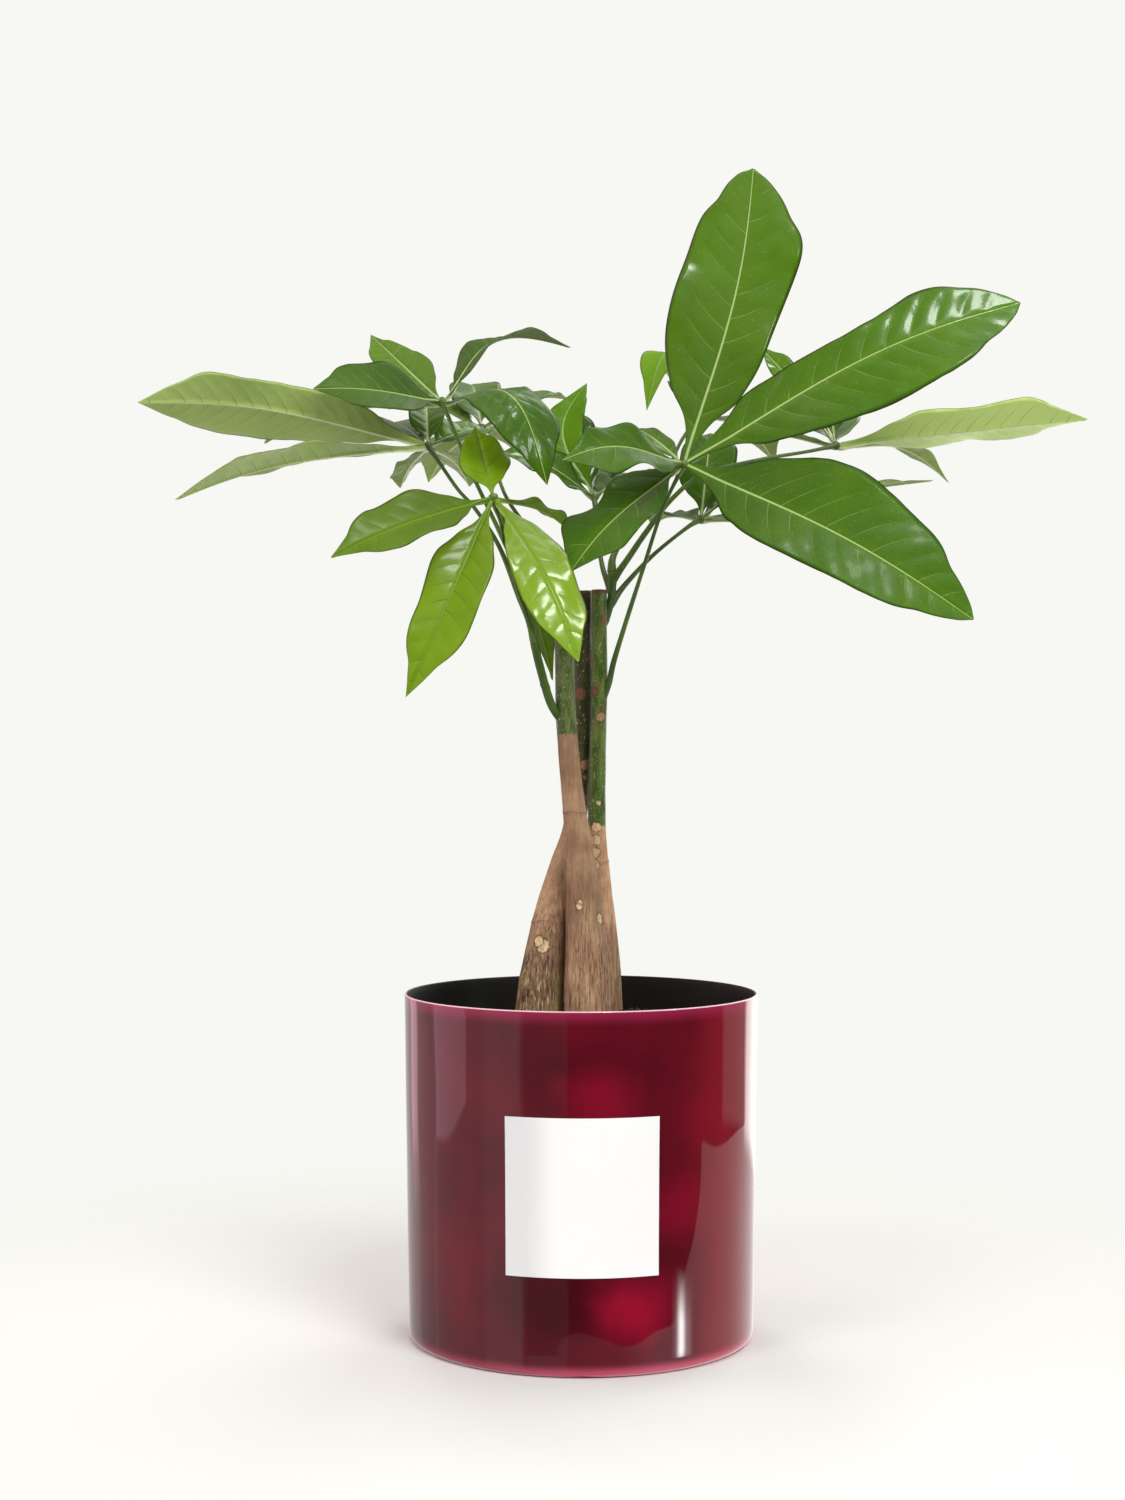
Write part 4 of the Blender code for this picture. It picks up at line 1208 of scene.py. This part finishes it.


# The paleness of each leaflet is partly its own green and partly painted light and shade.
LEAVES = {
    "left_far": (
        [(-26, -20, 221), (-33, -18, 236), (-44, -13, 264), (-57, -5, 285), (-68, 1, 298),
         (-84, 10, 322)],
        [
            leaflet((-239, -15, 342), 49, facing=(0, 0.61, 0.79), bow=10, fold=0.14,
                    left=(-0.11, 0.04, 0.14), right=(0.10, -0.12, 0.03), shade=1.35),
            leaflet((-209, -75, 283), 40, facing=(-0.2, 0.2, 0.93), bow=7, fold=0.2,
                    left=(-0.10, -0.14, 0.12), right=(0.0, -0.06, 0.0), shade=1.35),
            leaflet((-118, 96, 344), 34, bow=6),
            leaflet((-104, 74, 306), 20, facing=(-0.4, 0, 1), bow=3),
            leaflet((-64, 85, 308), 26, facing=(0.3, 0, 1), bow=5),
            leaflet((-50, 58, 336), 30, facing=(0, -0.5, 0.9), bow=4),
            leaflet((-88, 66, 358), 22, facing=(0, -0.8, 0.6), bow=3),
        ],
    ),
    "left_front": (
        [(-25, -20, 213), (-29, -29, 226), (-35, -38, 244), (-40, -50, 265), (-46, -60, 286)],
        [
            leaflet((-57, -22, 328), 26, facing=(0, -0.7, 0.7), bow=1, fold=0.04, wave=0.8, quilt=0.3,
                    left=(0.0, 0.12, -0.08), right=(0.0, 0.12, -0.08), shade=1.4, tone=0.3, wax=0.4),
            leaflet((-125, -115, 250), 36, facing=(0.1, -0.72, 0.68), bow=4, quilt=0.25,
                    left=(-0.07, -0.02, -0.01), right=(-0.02, 0.06, -0.05), shade=0.88, tone=0.2, wax=0.1),
            leaflet((-88, -110, 181), 35, facing=(-0.1, -0.9, 0.42), bow=8, sway=-3, quilt=0.35,
                    left=(0.07, -0.01, 0.02), right=(-0.09, 0.09, -0.03), tone=0.7, wax=0.4),
            leaflet((-2, -120, 198), 34, facing=(0.21, -0.865, 0.455), bow=7, sway=-2, fold=-0.02, quilt=1.25,
                    left=(0.04, 0.12, 0.04), right=(-0.07, -0.11, -0.01), shade=1.1, tone=1.0),
            leaflet((-5, -24, 271), 16, bow=5, shade=1.0, wax=0.3),
            leaflet((-15, -45, 191), 22, facing=(0.65, -0.65, 0.4), bow=3, wave=0.4, shade=0.5,
                    tone=0.0, left=(0.0, 0.1, 0.0), right=(0.0, 0.1, 0.0), wax=0.1),
        ],
    ),
    "left_upper": (
        [(-27, -20, 231), (-32, -21, 246), (-43, -19, 270), (-58, -12, 302), (-70, -2, 331),
         (-76, 5, 345)],
        [
            leaflet((-122, 88, 397), 25, facing=(-0.3, -0.75, 0.6), bow=0, wave=0.3, shade=1.15, tone=1.0,
                    left=(0.0, 0.0, 0.0), right=(-0.08, 0.22, -0.06), wax=0.5),
            leaflet((-143, -30, 347), 44, facing=(0.2, -0.68, 0.71), bow=4, sway=-1, wave=0.5, quilt=0.15,
                    left=(0.10, 0.0, 0.03), right=(0.0, 0.15, 0.0), shade=0.85, wax=0.0),
            leaflet((-181, 62, 330), 38, bow=9),
            leaflet((-5, 85, 389), 28, facing=(0, 0.05, 1), bow=19, sway=-10, shade=0.55, wax=0.2),
            leaflet((-18, -55, 293), 46, facing=(0.2, -0.6, 0.8), bow=32, fold=-0.16, quilt=2.0,
                    left=(-0.05, 0.05, 0.16), right=(0.0, -0.02, 0.0), tone=0.1, wax=0.7),
        ],
    ),
    "left_rear": (
        [(1, 8, 235), (-11, 24, 254), (-38, 55, 292), (-47, 75, 312), (-58, 112, 346)],
        [
            leaflet((-4, 135, 366), 32, facing=(0, -0.3, 1), bow=8),
            leaflet((-68, 190, 384), 34, bow=6),
            leaflet((-118, 172, 366), 34, bow=8),
            leaflet((-34, 178, 336), 32, bow=9),
            leaflet((-92, 150, 318), 28, bow=6),
        ],
    ),
    "right_front": (
        [(10, 0, 178), (15, -3, 190), (18, -7, 203), (25, -15, 226), (33, -25, 251), (43, -37, 282),
         (54, -45, 305)],
        [
            leaflet((93, -15, 468), 62, facing=(0.05, -0.99, 0.17), bow=0, sway=6, fold=0.06, point=0,
                    left=(0.05, 0.09, -0.05), right=(-0.07, 0.0, 0.08), quilt=0.3),
            leaflet((228, -60, 387), 61, facing=(-0.25, -0.84, 0.48), bow=12, sway=-2, fold=0.08, point=0.3,
                    left=(-0.21, 0.06, 0.17), right=(0.16, -0.03, -0.03), shade=1.25, quilt=0.65, wax=0.8),
            leaflet((193, -120, 219), 62, facing=(-0.1, -0.86, 0.5), bow=11, fold=0.14, point=0.5,
                    left=(0.17, 0.14, -0.04), right=(-0.06, 0.13, 0.04), shade=1.08, quilt=0.4, wax=0.15),
            leaflet((-6, -72, 246), 42, facing=(-0.29, -0.76, 0.6), bow=2, sway=4, fold=0.18,
                    left=(0.0, -0.04, -0.02), right=(0.01, 0.08, 0.24), shade=1.15, quilt=0.3, wax=0.5),
            leaflet((-10, -95, 301), 41, facing=(0.3, -0.72, 0.62), bow=7, sway=4, fold=0.16,
                    left=(0.04, 0.01, 0.15), right=(-0.25, 0.12, -0.04), tone=0.2, wax=0.2),
            leaflet((30, -9, 329), 13, facing=(0, -0.8, 0.6), bow=2, wave=0.4),
        ],
    ),
    "middle_rear": (
        [(17, 6, 241), (12, 15, 256), (9, 29, 280), (8, 42, 297)],
        [
            leaflet((4, 65, 365), 26, facing=(-0.3, -0.8, 0.5), bow=4, sway=-15, shade=1.5, wax=0.4),
            leaflet((-45, 27, 320), 34, facing=(0, -0.6, 0.8), bow=6),
            leaflet((-17, 88, 352), 34, facing=(0, -0.5, 0.85), bow=6),
            leaflet((40, 84, 312), 28, bow=6),
            leaflet((10, 118, 318), 28, bow=8),
        ],
    ),
    "right_rear": (
        [(16, 5, 234), (25, 9, 246), (40, 14, 262), (58, 20, 277), (67, 25, 283)],
        [
            leaflet((75, 62, 336), 34, facing=(0, -0.8, 0.6), bow=4),
            leaflet((41, 66, 284), 26, facing=(0, -0.2, 1), bow=4),
            leaflet((201, 52, 308), 20, bow=2),
            leaflet((124, 112, 318), 34, bow=9),
            leaflet((104, 4, 272), 26, facing=(0, -0.2, 1), bow=4),
        ],
    ),
    "right_far": (
        [(17, 6, 247), (25, 3, 258), (36, 2, 274), (50, 3, 292), (68, 6, 306), (100, 24, 316),
         (128, 44, 323), (146, 56, 328)],
        [
            leaflet((285, 35, 340), 44, facing=(0, 0.38, 0.92), bow=1, left=(0.03, 0.04, 0.0),
                    right=(0.05, 0.0, 0.10), shade=1.95, tone=1.0),
            leaflet((222, 126, 315), 16, facing=(0.2, 0.3, 1), bow=12),
            leaflet((126, 128, 382), 36, facing=(0, -0.4, 0.9), bow=8, sway=9),
            leaflet((104, 92, 392), 16, facing=(0, -0.7, 0.7), bow=4),
            leaflet((90, 66, 334), 22, bow=4),
            leaflet((150, 172, 352), 38, bow=9),
        ],
    ),
    "right_upper": (
        [(17, 6, 252), (18, 8, 261), (26, 20, 275), (39, 40, 291), (50, 66, 314), (60, 88, 336),
         (72, 100, 352)],
        [
            leaflet((38, 55, 348), 33, facing=(-0.45, -0.6, 0.8), bow=34, wave=0.6, shade=2.2, tone=1.0,
                    left=(0.0, 0.08, 0.0), right=(0.0, 0.08, 0.0), wax=0.3),
            leaflet((104, 158, 388), 34, bow=8),
            leaflet((84, 122, 424), 34, facing=(0, -0.7, 0.7), bow=6),
            leaflet((70, 196, 378), 36, bow=10),
            leaflet((120, 150, 330), 34, bow=10),
        ],
    ),
}
leaflet_count = sum(len(blades) for stalk, blades in LEAVES.values())
print("leaves:", len(LEAVES), "leaflets:", leaflet_count)

# %% [markdown]
# The rule for blades starts from two flat grids, one for the upper skin and one turned over for the
# lower, and puts both on every hub. It then works out for each grid point where it belongs. Along
# the margin, at the root and at the tip the thickness runs out to nothing, so the two skins meet and
# are merged into one closed blade. The place on the blade is kept for the finish, which draws the
# veins exactly where the quilting dips.

# %% Write the rule for blades
BLADE_ROUND = [(0, 0.05), (0.08, 0.08), (0.25, 0.58), (0.48, 0.94), (0.70, 1.0), (0.88, 0.64), (0.96, 0.34), (1, 0.02)]
BLADE_SHARP = [(0, 0.05), (0.08, 0.08), (0.25, 0.58), (0.48, 0.94), (0.70, 0.92), (0.88, 0.43), (0.96, 0.15), (1, 0.01)]
ARCH_SKEW = 1.25
WAVES_ALONG = 2.5
WAVE_SHIFT = 2.0
COLUMN_SPREAD = 1.4
graph, inputs = start_rule("leaf", {
    "Rows": "Int",
    "Columns": "Int",
    "Thickness": "Float",
    "Root Thickness": "Float",
    "Vein Spacing": "Float",
    "Quilting": "Float",
    "Rib Groove": "Float",
    "Rib Height": "Float",
    "Ripple": "Float",
    "Upper Skin": "Material",
    "Lower Skin": "Material",
})
grid = graph.node("GeometryNodeMeshGrid", sockets={
    "Size X": 1.0,
    "Size Y": 2.0,
    "Vertices X": inputs["Rows"],
    "Vertices Y": inputs["Columns"],
})
x, y, z = graph.split(graph.node("GeometryNodeInputPosition"))
upper = store(graph, grid, "along", x + 0.5)
upper = store(graph, upper, "across", graph.math("SIGN", y) * abs(y) ** COLUMN_SPREAD * -1)
lower = graph.node("GeometryNodeFlipFaces", sockets={0: upper})
upper = store(graph, store(graph, upper, "skin", 1.0), "skin_face", 1.0, domain="FACE")
lower = store(graph, store(graph, lower, "skin", -1.0), "skin_face", -1.0, domain="FACE")
skins = graph.node("GeometryNodeJoinGeometry", sockets={0: lower})
graph.tree.links.new(upper.socket, skins.socket.node.inputs[0])
blades = graph.node("GeometryNodeInstanceOnPoints", sockets={"Points": inputs["Geometry"], "Instance": skins})
blades = graph.node("GeometryNodeRealizeInstances", sockets={0: blades})

u = carried(graph, "along")
v = carried(graph, "across")
skin = carried(graph, "skin")
hub = carried(graph, "hub", "FLOAT_VECTOR")
up = carried(graph, "up", "FLOAT_VECTOR")
chord = graph.vector("SUBTRACT", carried(graph, "tip", "FLOAT_VECTOR"), hub)
length = graph.vector("LENGTH", chord).output("Value")
side = graph.vector("CROSS_PRODUCT", graph.vector("NORMALIZE", chord), up)
round_width = graph.node("ShaderNodeFloatCurve", {"bends": BLADE_ROUND}, {"Value": u})
sharp_width = graph.node("ShaderNodeFloatCurve", {"bends": BLADE_SHARP}, {"Value": u})
width = round_width + (sharp_width - round_width) * carried(graph, "point")
left_x, left_y, left_z = graph.split(carried(graph, "left", "FLOAT_VECTOR"))
right_x, right_y, right_z = graph.split(carried(graph, "right", "FLOAT_VECTOR"))
right = graph.math("GREATER_THAN", v, 0.0)
swing = graph.math("SINE", u * math.pi) * (left_x + (right_x - left_x) * right)
swing = swing + graph.math("SINE", u * (2 * math.pi)) * (left_y + (right_y - left_y) * right)
swing = swing + graph.math("SINE", u * (3 * math.pi)) * (left_z + (right_z - left_z) * right)
reach = v * (width + swing) * carried(graph, "half_width")
arch = graph.math("SINE", u**ARCH_SKEW * math.pi)
ripple = graph.math("SINE", u * (2 * math.pi * WAVES_ALONG) + right * WAVE_SHIFT)
rise = abs(reach) * carried(graph, "fold") + v * v * width * carried(graph, "wave") * ripple
frill_place = graph.total((hub, 1.0), (chord, u), (side, reach))
frill = graph.noise(frill_place, 55, detail=1) - 0.5
rise = rise + frill * abs(v) ** 1.5 * width * inputs["Ripple"]
vein = (u * length - abs(reach) * (0.45 + abs(v) * 0.40)) / inputs["Vein Spacing"]
left_shift = graph.math("LESS_THAN", v, 0.0) * 0.5
between_veins = abs(graph.math("SINE", (vein + left_shift) * math.pi))
across_cells = abs(reach) / inputs["Vein Spacing"] * 1.1 + (frill + 0.5) * 0.2
between_rows = abs(graph.math("SINE", across_cells * math.pi))
pillow = between_veins**0.55 - 0.6
cell = graph.math("MINIMUM", between_veins, between_rows) ** 0.45 * 0.32 - 0.24
pillow = pillow + (cell - pillow) * graph.ease(carried(graph, "quilt"), 1.0, 1.2)
inner = graph.ease(abs(v), 0.03, 0.22) * graph.ease(abs(v), 1.0, 0.72)
inner = inner * graph.ease(u, 0.05, 0.20) * graph.ease(u, 1.0, 0.86)
rise = rise + pillow * inner * inputs["Quilting"] * carried(graph, "quilt")
closing = (1 - v**4) * graph.ease(u, 0.0, 0.015) * graph.ease(u, 1.0, 0.985)
thick = inputs["Thickness"] + (inputs["Root Thickness"] - inputs["Thickness"]) * graph.ease(u, 0.15, 0.04)
rib = graph.ease(abs(reach), 0.0016, 0.0) * closing
below = (1 - skin) * 0.5
rib_depth = inputs["Rib Groove"] + below * inputs["Rib Height"] * (1.1 - u)
lift = rise + carried(graph, "bow") * arch + skin * thick * 0.5 * closing - rib * rib_depth
target = graph.total((hub, 1.0), (chord, u), (up, lift), (side, reach + carried(graph, "sway") * arch))
blades = graph.node("GeometryNodeSetPosition", sockets={"Geometry": blades, "Position": target})
blades = store(graph, blades, "blade", graph.join(u, v, reach), "FLOAT_VECTOR")
blades = store(graph, blades, "vein", vein)
blades = graph.node("GeometryNodeMergeByDistance", sockets={0: blades, "Distance": 0.000002})
blades = graph.node("GeometryNodeSetMaterial", sockets={"Geometry": blades, "Material": inputs["Upper Skin"]})
lower_faces = graph.math("LESS_THAN", carried(graph, "skin_face"), 0.0)
leaf_rule = finish_rule(graph, blades, inputs["Lower Skin"], lower_faces)
print("leaf rule nodes:", len(leaf_rule.nodes))

# %% [markdown]
# A leaf's upper skin is deep green and waxy. A pale midrib runs up the middle and pale side veins
# branch off it, and between them is a net of tiny cells that breaks the shine. The lower skin is
# paler and dull, and its veins stand out. Each leaflet also carries a tone of its own, because no
# two are quite the same green.

# %% Mix the skins of the leaves
def leaf_skin(name, dark, light, vein_colour, rib_colour, cells, rough, gloss):
    """cells is how strongly the net of cells shows, and gloss how much the wax on top mirrors."""
    made, graph, shader, place = new_material(name, {
        "Specular IOR Level": SKIN_SHEEN,
        "Coat Roughness": rough,
        "Coat IOR": 1.45,
    })
    blade = graph.node("ShaderNodeAttribute", {"attribute_name": "blade"}, output="Vector")
    vein = graph.node("ShaderNodeAttribute", {"attribute_name": "vein"}, output="Fac")
    tone = graph.node("ShaderNodeAttribute", {"attribute_name": "tone"}, output="Fac")
    shade = graph.node("ShaderNodeAttribute", {"attribute_name": "shade"}, output="Fac")
    wax = graph.node("ShaderNodeAttribute", {"attribute_name": "wax"}, output="Fac")
    u, v, reach = graph.split(blade)
    left_shift = graph.math("LESS_THAN", v, 0.0) * 0.5
    off_vein = abs(graph.math("FRACT", vein + left_shift + 0.5) - 0.5)
    thin = 0.018 + (1 - abs(v)) * 0.024
    side_vein = graph.ease(off_vein, thin, thin * 0.3) * graph.ease(abs(v), 0.95, 0.45)
    side_vein = side_vein * graph.ease(u, 0.06, 0.14) * graph.ease(graph.noise(place, 60, detail=1), 0.30, 0.55)
    rib_width = (1.08 - u) * 0.0007
    rib = graph.ease(abs(reach), rib_width + 0.00025, rib_width * 0.6)
    cloud = graph.noise(place, 24, detail=3, roughness=0.6)
    colour = graph.mix(graph.ease(cloud * 0.55 + tone * 0.45, 0.25, 0.75), dark, light)
    # Painted shade: each blade is darker towards its hub, where the other leaflets shade it.
    shade = shade * (0.80 + graph.ease(u, 0.0, 0.7) * 0.28)
    colour = graph.vector("SCALE", colour, shade)
    beside_rib = graph.ease(abs(reach), 0.006, 0.0008) * 0.35
    colour = graph.mix(beside_rib, colour, graph.vector("SCALE", light, shade))
    net = graph.node(
        "ShaderNodeTexVoronoi", {"feature": "DISTANCE_TO_EDGE"}, {"Vector": place, "Scale": 380.0}, "Distance"
    )
    net_line = graph.ease(net, 0.09, 0.0)
    colour = graph.mix(net_line * 0.07 * cells, colour, vein_colour)
    speck = graph.ease(graph.noise(place, 900, detail=0), 0.74, 0.80) * 0.12
    colour = graph.mix(side_vein * 0.6, colour, vein_colour)
    colour = graph.mix(speck, colour, rib_colour)
    colour = graph.mix(rib * 0.85, colour, rib_colour)
    colour = graph.mix(graph.ease(abs(v), 0.970, 0.995) * 0.75, colour, DRY_MARGIN)
    mottle = graph.noise(place, 130, detail=2)
    height = graph.ease(net, 0.0, 0.35) * cells * 0.09 - side_vein * 0.55 - rib * 0.4 + mottle * 0.35
    feed(graph, shader, {
        "Base Color": colour,
        "Roughness": 0.45 - wax * 0.15 + (mottle - 0.5) * 0.16 + side_vein * 0.08,
        "Coat Weight": wax * gloss,
        "Normal": bump(graph, height, 0.45, 0.0005),
    })
    return made


DRY_MARGIN = (0.045, 0.050, 0.022)
SKIN_SHEEN = 0.13
SKINS = {
    "mature_leaf": (
        leaf_skin("mature_upper", (0.034, 0.094, 0.002), (0.070, 0.156, 0.003), (0.150, 0.260, 0.050),
                  (0.38, 0.50, 0.19), 1.0, 0.13, 0.32),
        leaf_skin("mature_lower", (0.170, 0.250, 0.060), (0.290, 0.385, 0.112), (0.110, 0.170, 0.040),
                  (0.84, 0.87, 0.60), 0.6, 0.50, 0.02),
    ),
    "young_leaf": (
        leaf_skin("young_upper", (0.078, 0.150, 0.003), (0.150, 0.255, 0.006), (0.066, 0.120, 0.004),
                  (0.15, 0.27, 0.015), 1.4, 0.20, 0.50),
        leaf_skin("young_lower", (0.150, 0.270, 0.018), (0.210, 0.350, 0.030), (0.110, 0.200, 0.015),
                  (0.34, 0.48, 0.09), 0.8, 0.50, 0.05),
    ),
}

# %% [markdown]
# Each leaf then becomes two pieces, its stalk with the knuckle and its blades, and both stand for the
# leaf's one solid. The stalk swells into a joint where it leaves the stem and again at the knuckle.

# %% Grow the leaves
STALK_RADIUS = 0.0010
STALK_TAPER = 0.0009
KNUCKLE_RADIUS = 0.0027
KNUCKLE_REACH = 0.0024
JOINT_LENGTH = 0.006
JOINT_SWELL = 0.0007
YOUNG = ("left_front",)
FINE_LEAVES = ("right_front", "left_front", "left_upper", "left_far")
MARGIN_SWING = (0.05, 0.05, 0.06)
VEIN_SPACING = {"right_front": 0.0140, "left_front": 0.0115}
tones = np.random.default_rng(21)


def stalk_line(rows):
    """The stalk's line past its hub, with a joint at the stem and a knuckle at the hub."""
    with_radius = [(*row, STALK_RADIUS / MM) for row in rows]
    line = smooth_line(over_soil(with_radius), 0.0008)
    line[:, 3] += STALK_TAPER * np.linspace(1, 0, len(line)) ** 2.5
    forward = line[-1, :3] - line[-2, :3]
    forward = forward / np.linalg.norm(forward)
    for step in np.linspace(0.2, 0.95, 5):
        line = np.vstack([line, [*(line[-1, :3] + forward * KNUCKLE_REACH * 0.18), STALK_RADIUS]])
    from_hub = np.linalg.norm(line[:, :3] - over_soil(rows)[-1], axis=1)
    from_stem = np.linalg.norm(line[:, :3] - line[0, :3], axis=1)
    line[:, 3] += JOINT_SWELL * np.exp(-((from_stem / JOINT_LENGTH) ** 2))
    line[:, 3] += JOINT_SWELL * np.exp(-((from_hub / (JOINT_LENGTH * 1.3)) ** 2))
    ball = np.sqrt(np.clip(KNUCKLE_RADIUS**2 - from_hub**2, 0, None))
    line[:, 3] = np.maximum(line[:, 3], ball)
    line[-3:, 3] *= (0.9, 0.7, 0.4)
    return line


def blade_values(hub, blades):
    """The table of a leaf's blades as values for the rule's points."""
    tips = over_soil([blade["tip"] for blade in blades])
    along = tips - hub
    along = along / np.linalg.norm(along, axis=1)[:, None]
    facing = np.array([blade["facing"] for blade in blades], dtype=float)
    up = facing - along * np.sum(facing * along, axis=1)[:, None]
    values = {
        "tip": tips,
        "hub": np.repeat([hub], len(blades), axis=0),
        "up": up / np.linalg.norm(up, axis=1)[:, None],
        "half_width": np.array([blade["width"] for blade in blades]) * MM / 2,
        "tone": tones.uniform(0, 1, len(blades)),
        "quilt": np.array([blade["quilt"] for blade in blades]),
        "shade": np.array([blade["shade"] for blade in blades]),
        "wax": np.array([blade["wax"] for blade in blades]),
    }
    for row, blade in enumerate(blades):
        if blade["tone"] is not None:
            values["tone"][row] = blade["tone"]
    for margin in ("left", "right"):
        own = tones.uniform(-1, 1, (len(blades), 3)) * MARGIN_SWING
        for row, blade in enumerate(blades):
            if blade[margin] is not None:
                own[row] = blade[margin]
        values[margin] = own
    for label_text, unit in (("bow", MM), ("sway", MM), ("fold", 1), ("wave", MM), ("point", 1)):
        values[label_text] = np.array([blade[label_text] for blade in blades]) * unit
    return values


for name, (stalk, blades) in LEAVES.items():
    young = name in YOUNG
    slot = "young_leaf" if young else "mature_leaf"
    line = stalk_line(stalk)
    middle = (line[0, 2] + line[-1, 2]) / 2
    values = {**SMOOTH_STEM, "Ring Spacing": 0.0009, "Lower Scar": middle - 1, "Upper Scar": middle + 1}
    values["Material"] = young_stem if young else mature_stem
    made = grow_stem("stalk_" + name, line, values)
    place_piece(made, slot, "leaf_" + name)
    fine = name in FINE_LEAVES
    upper_skin, lower_skin = SKINS[slot]
    hub = over_soil(stalk)[-1]
    values = {
        "Rows": 150 if fine else 90,
        "Columns": 27 if fine else 19,
        "Thickness": 0.0005,
        "Root Thickness": 0.0022,
        "Vein Spacing": VEIN_SPACING.get(name, 0.0092),
        "Quilting": 0.0014,
        "Rib Groove": 0.0006 if young else 0.0004,
        "Rib Height": 0.0012,
        "Ripple": 0.004,
        "Upper Skin": upper_skin,
        "Lower Skin": lower_skin,
    }
    made = run_rule(leaf_rule, "blades_" + name, [hub] * len(blades), [], values, blade_values(hub, blades))
    made.data.shade_smooth()
    place_piece(made, slot, "leaf_" + name)
    print(made.name, "triangles:", count_triangles(made.data))

# %% [markdown]
# ## The outer size
#
# The visual model may be finer than the CAD model, but it must not be bigger. So its box is
# printed before the scene is finished.

# %% Write down the visual box and finish
low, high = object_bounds()
print("visual box in mm:", [round(float(side) / MM, 1) for side in high - low])
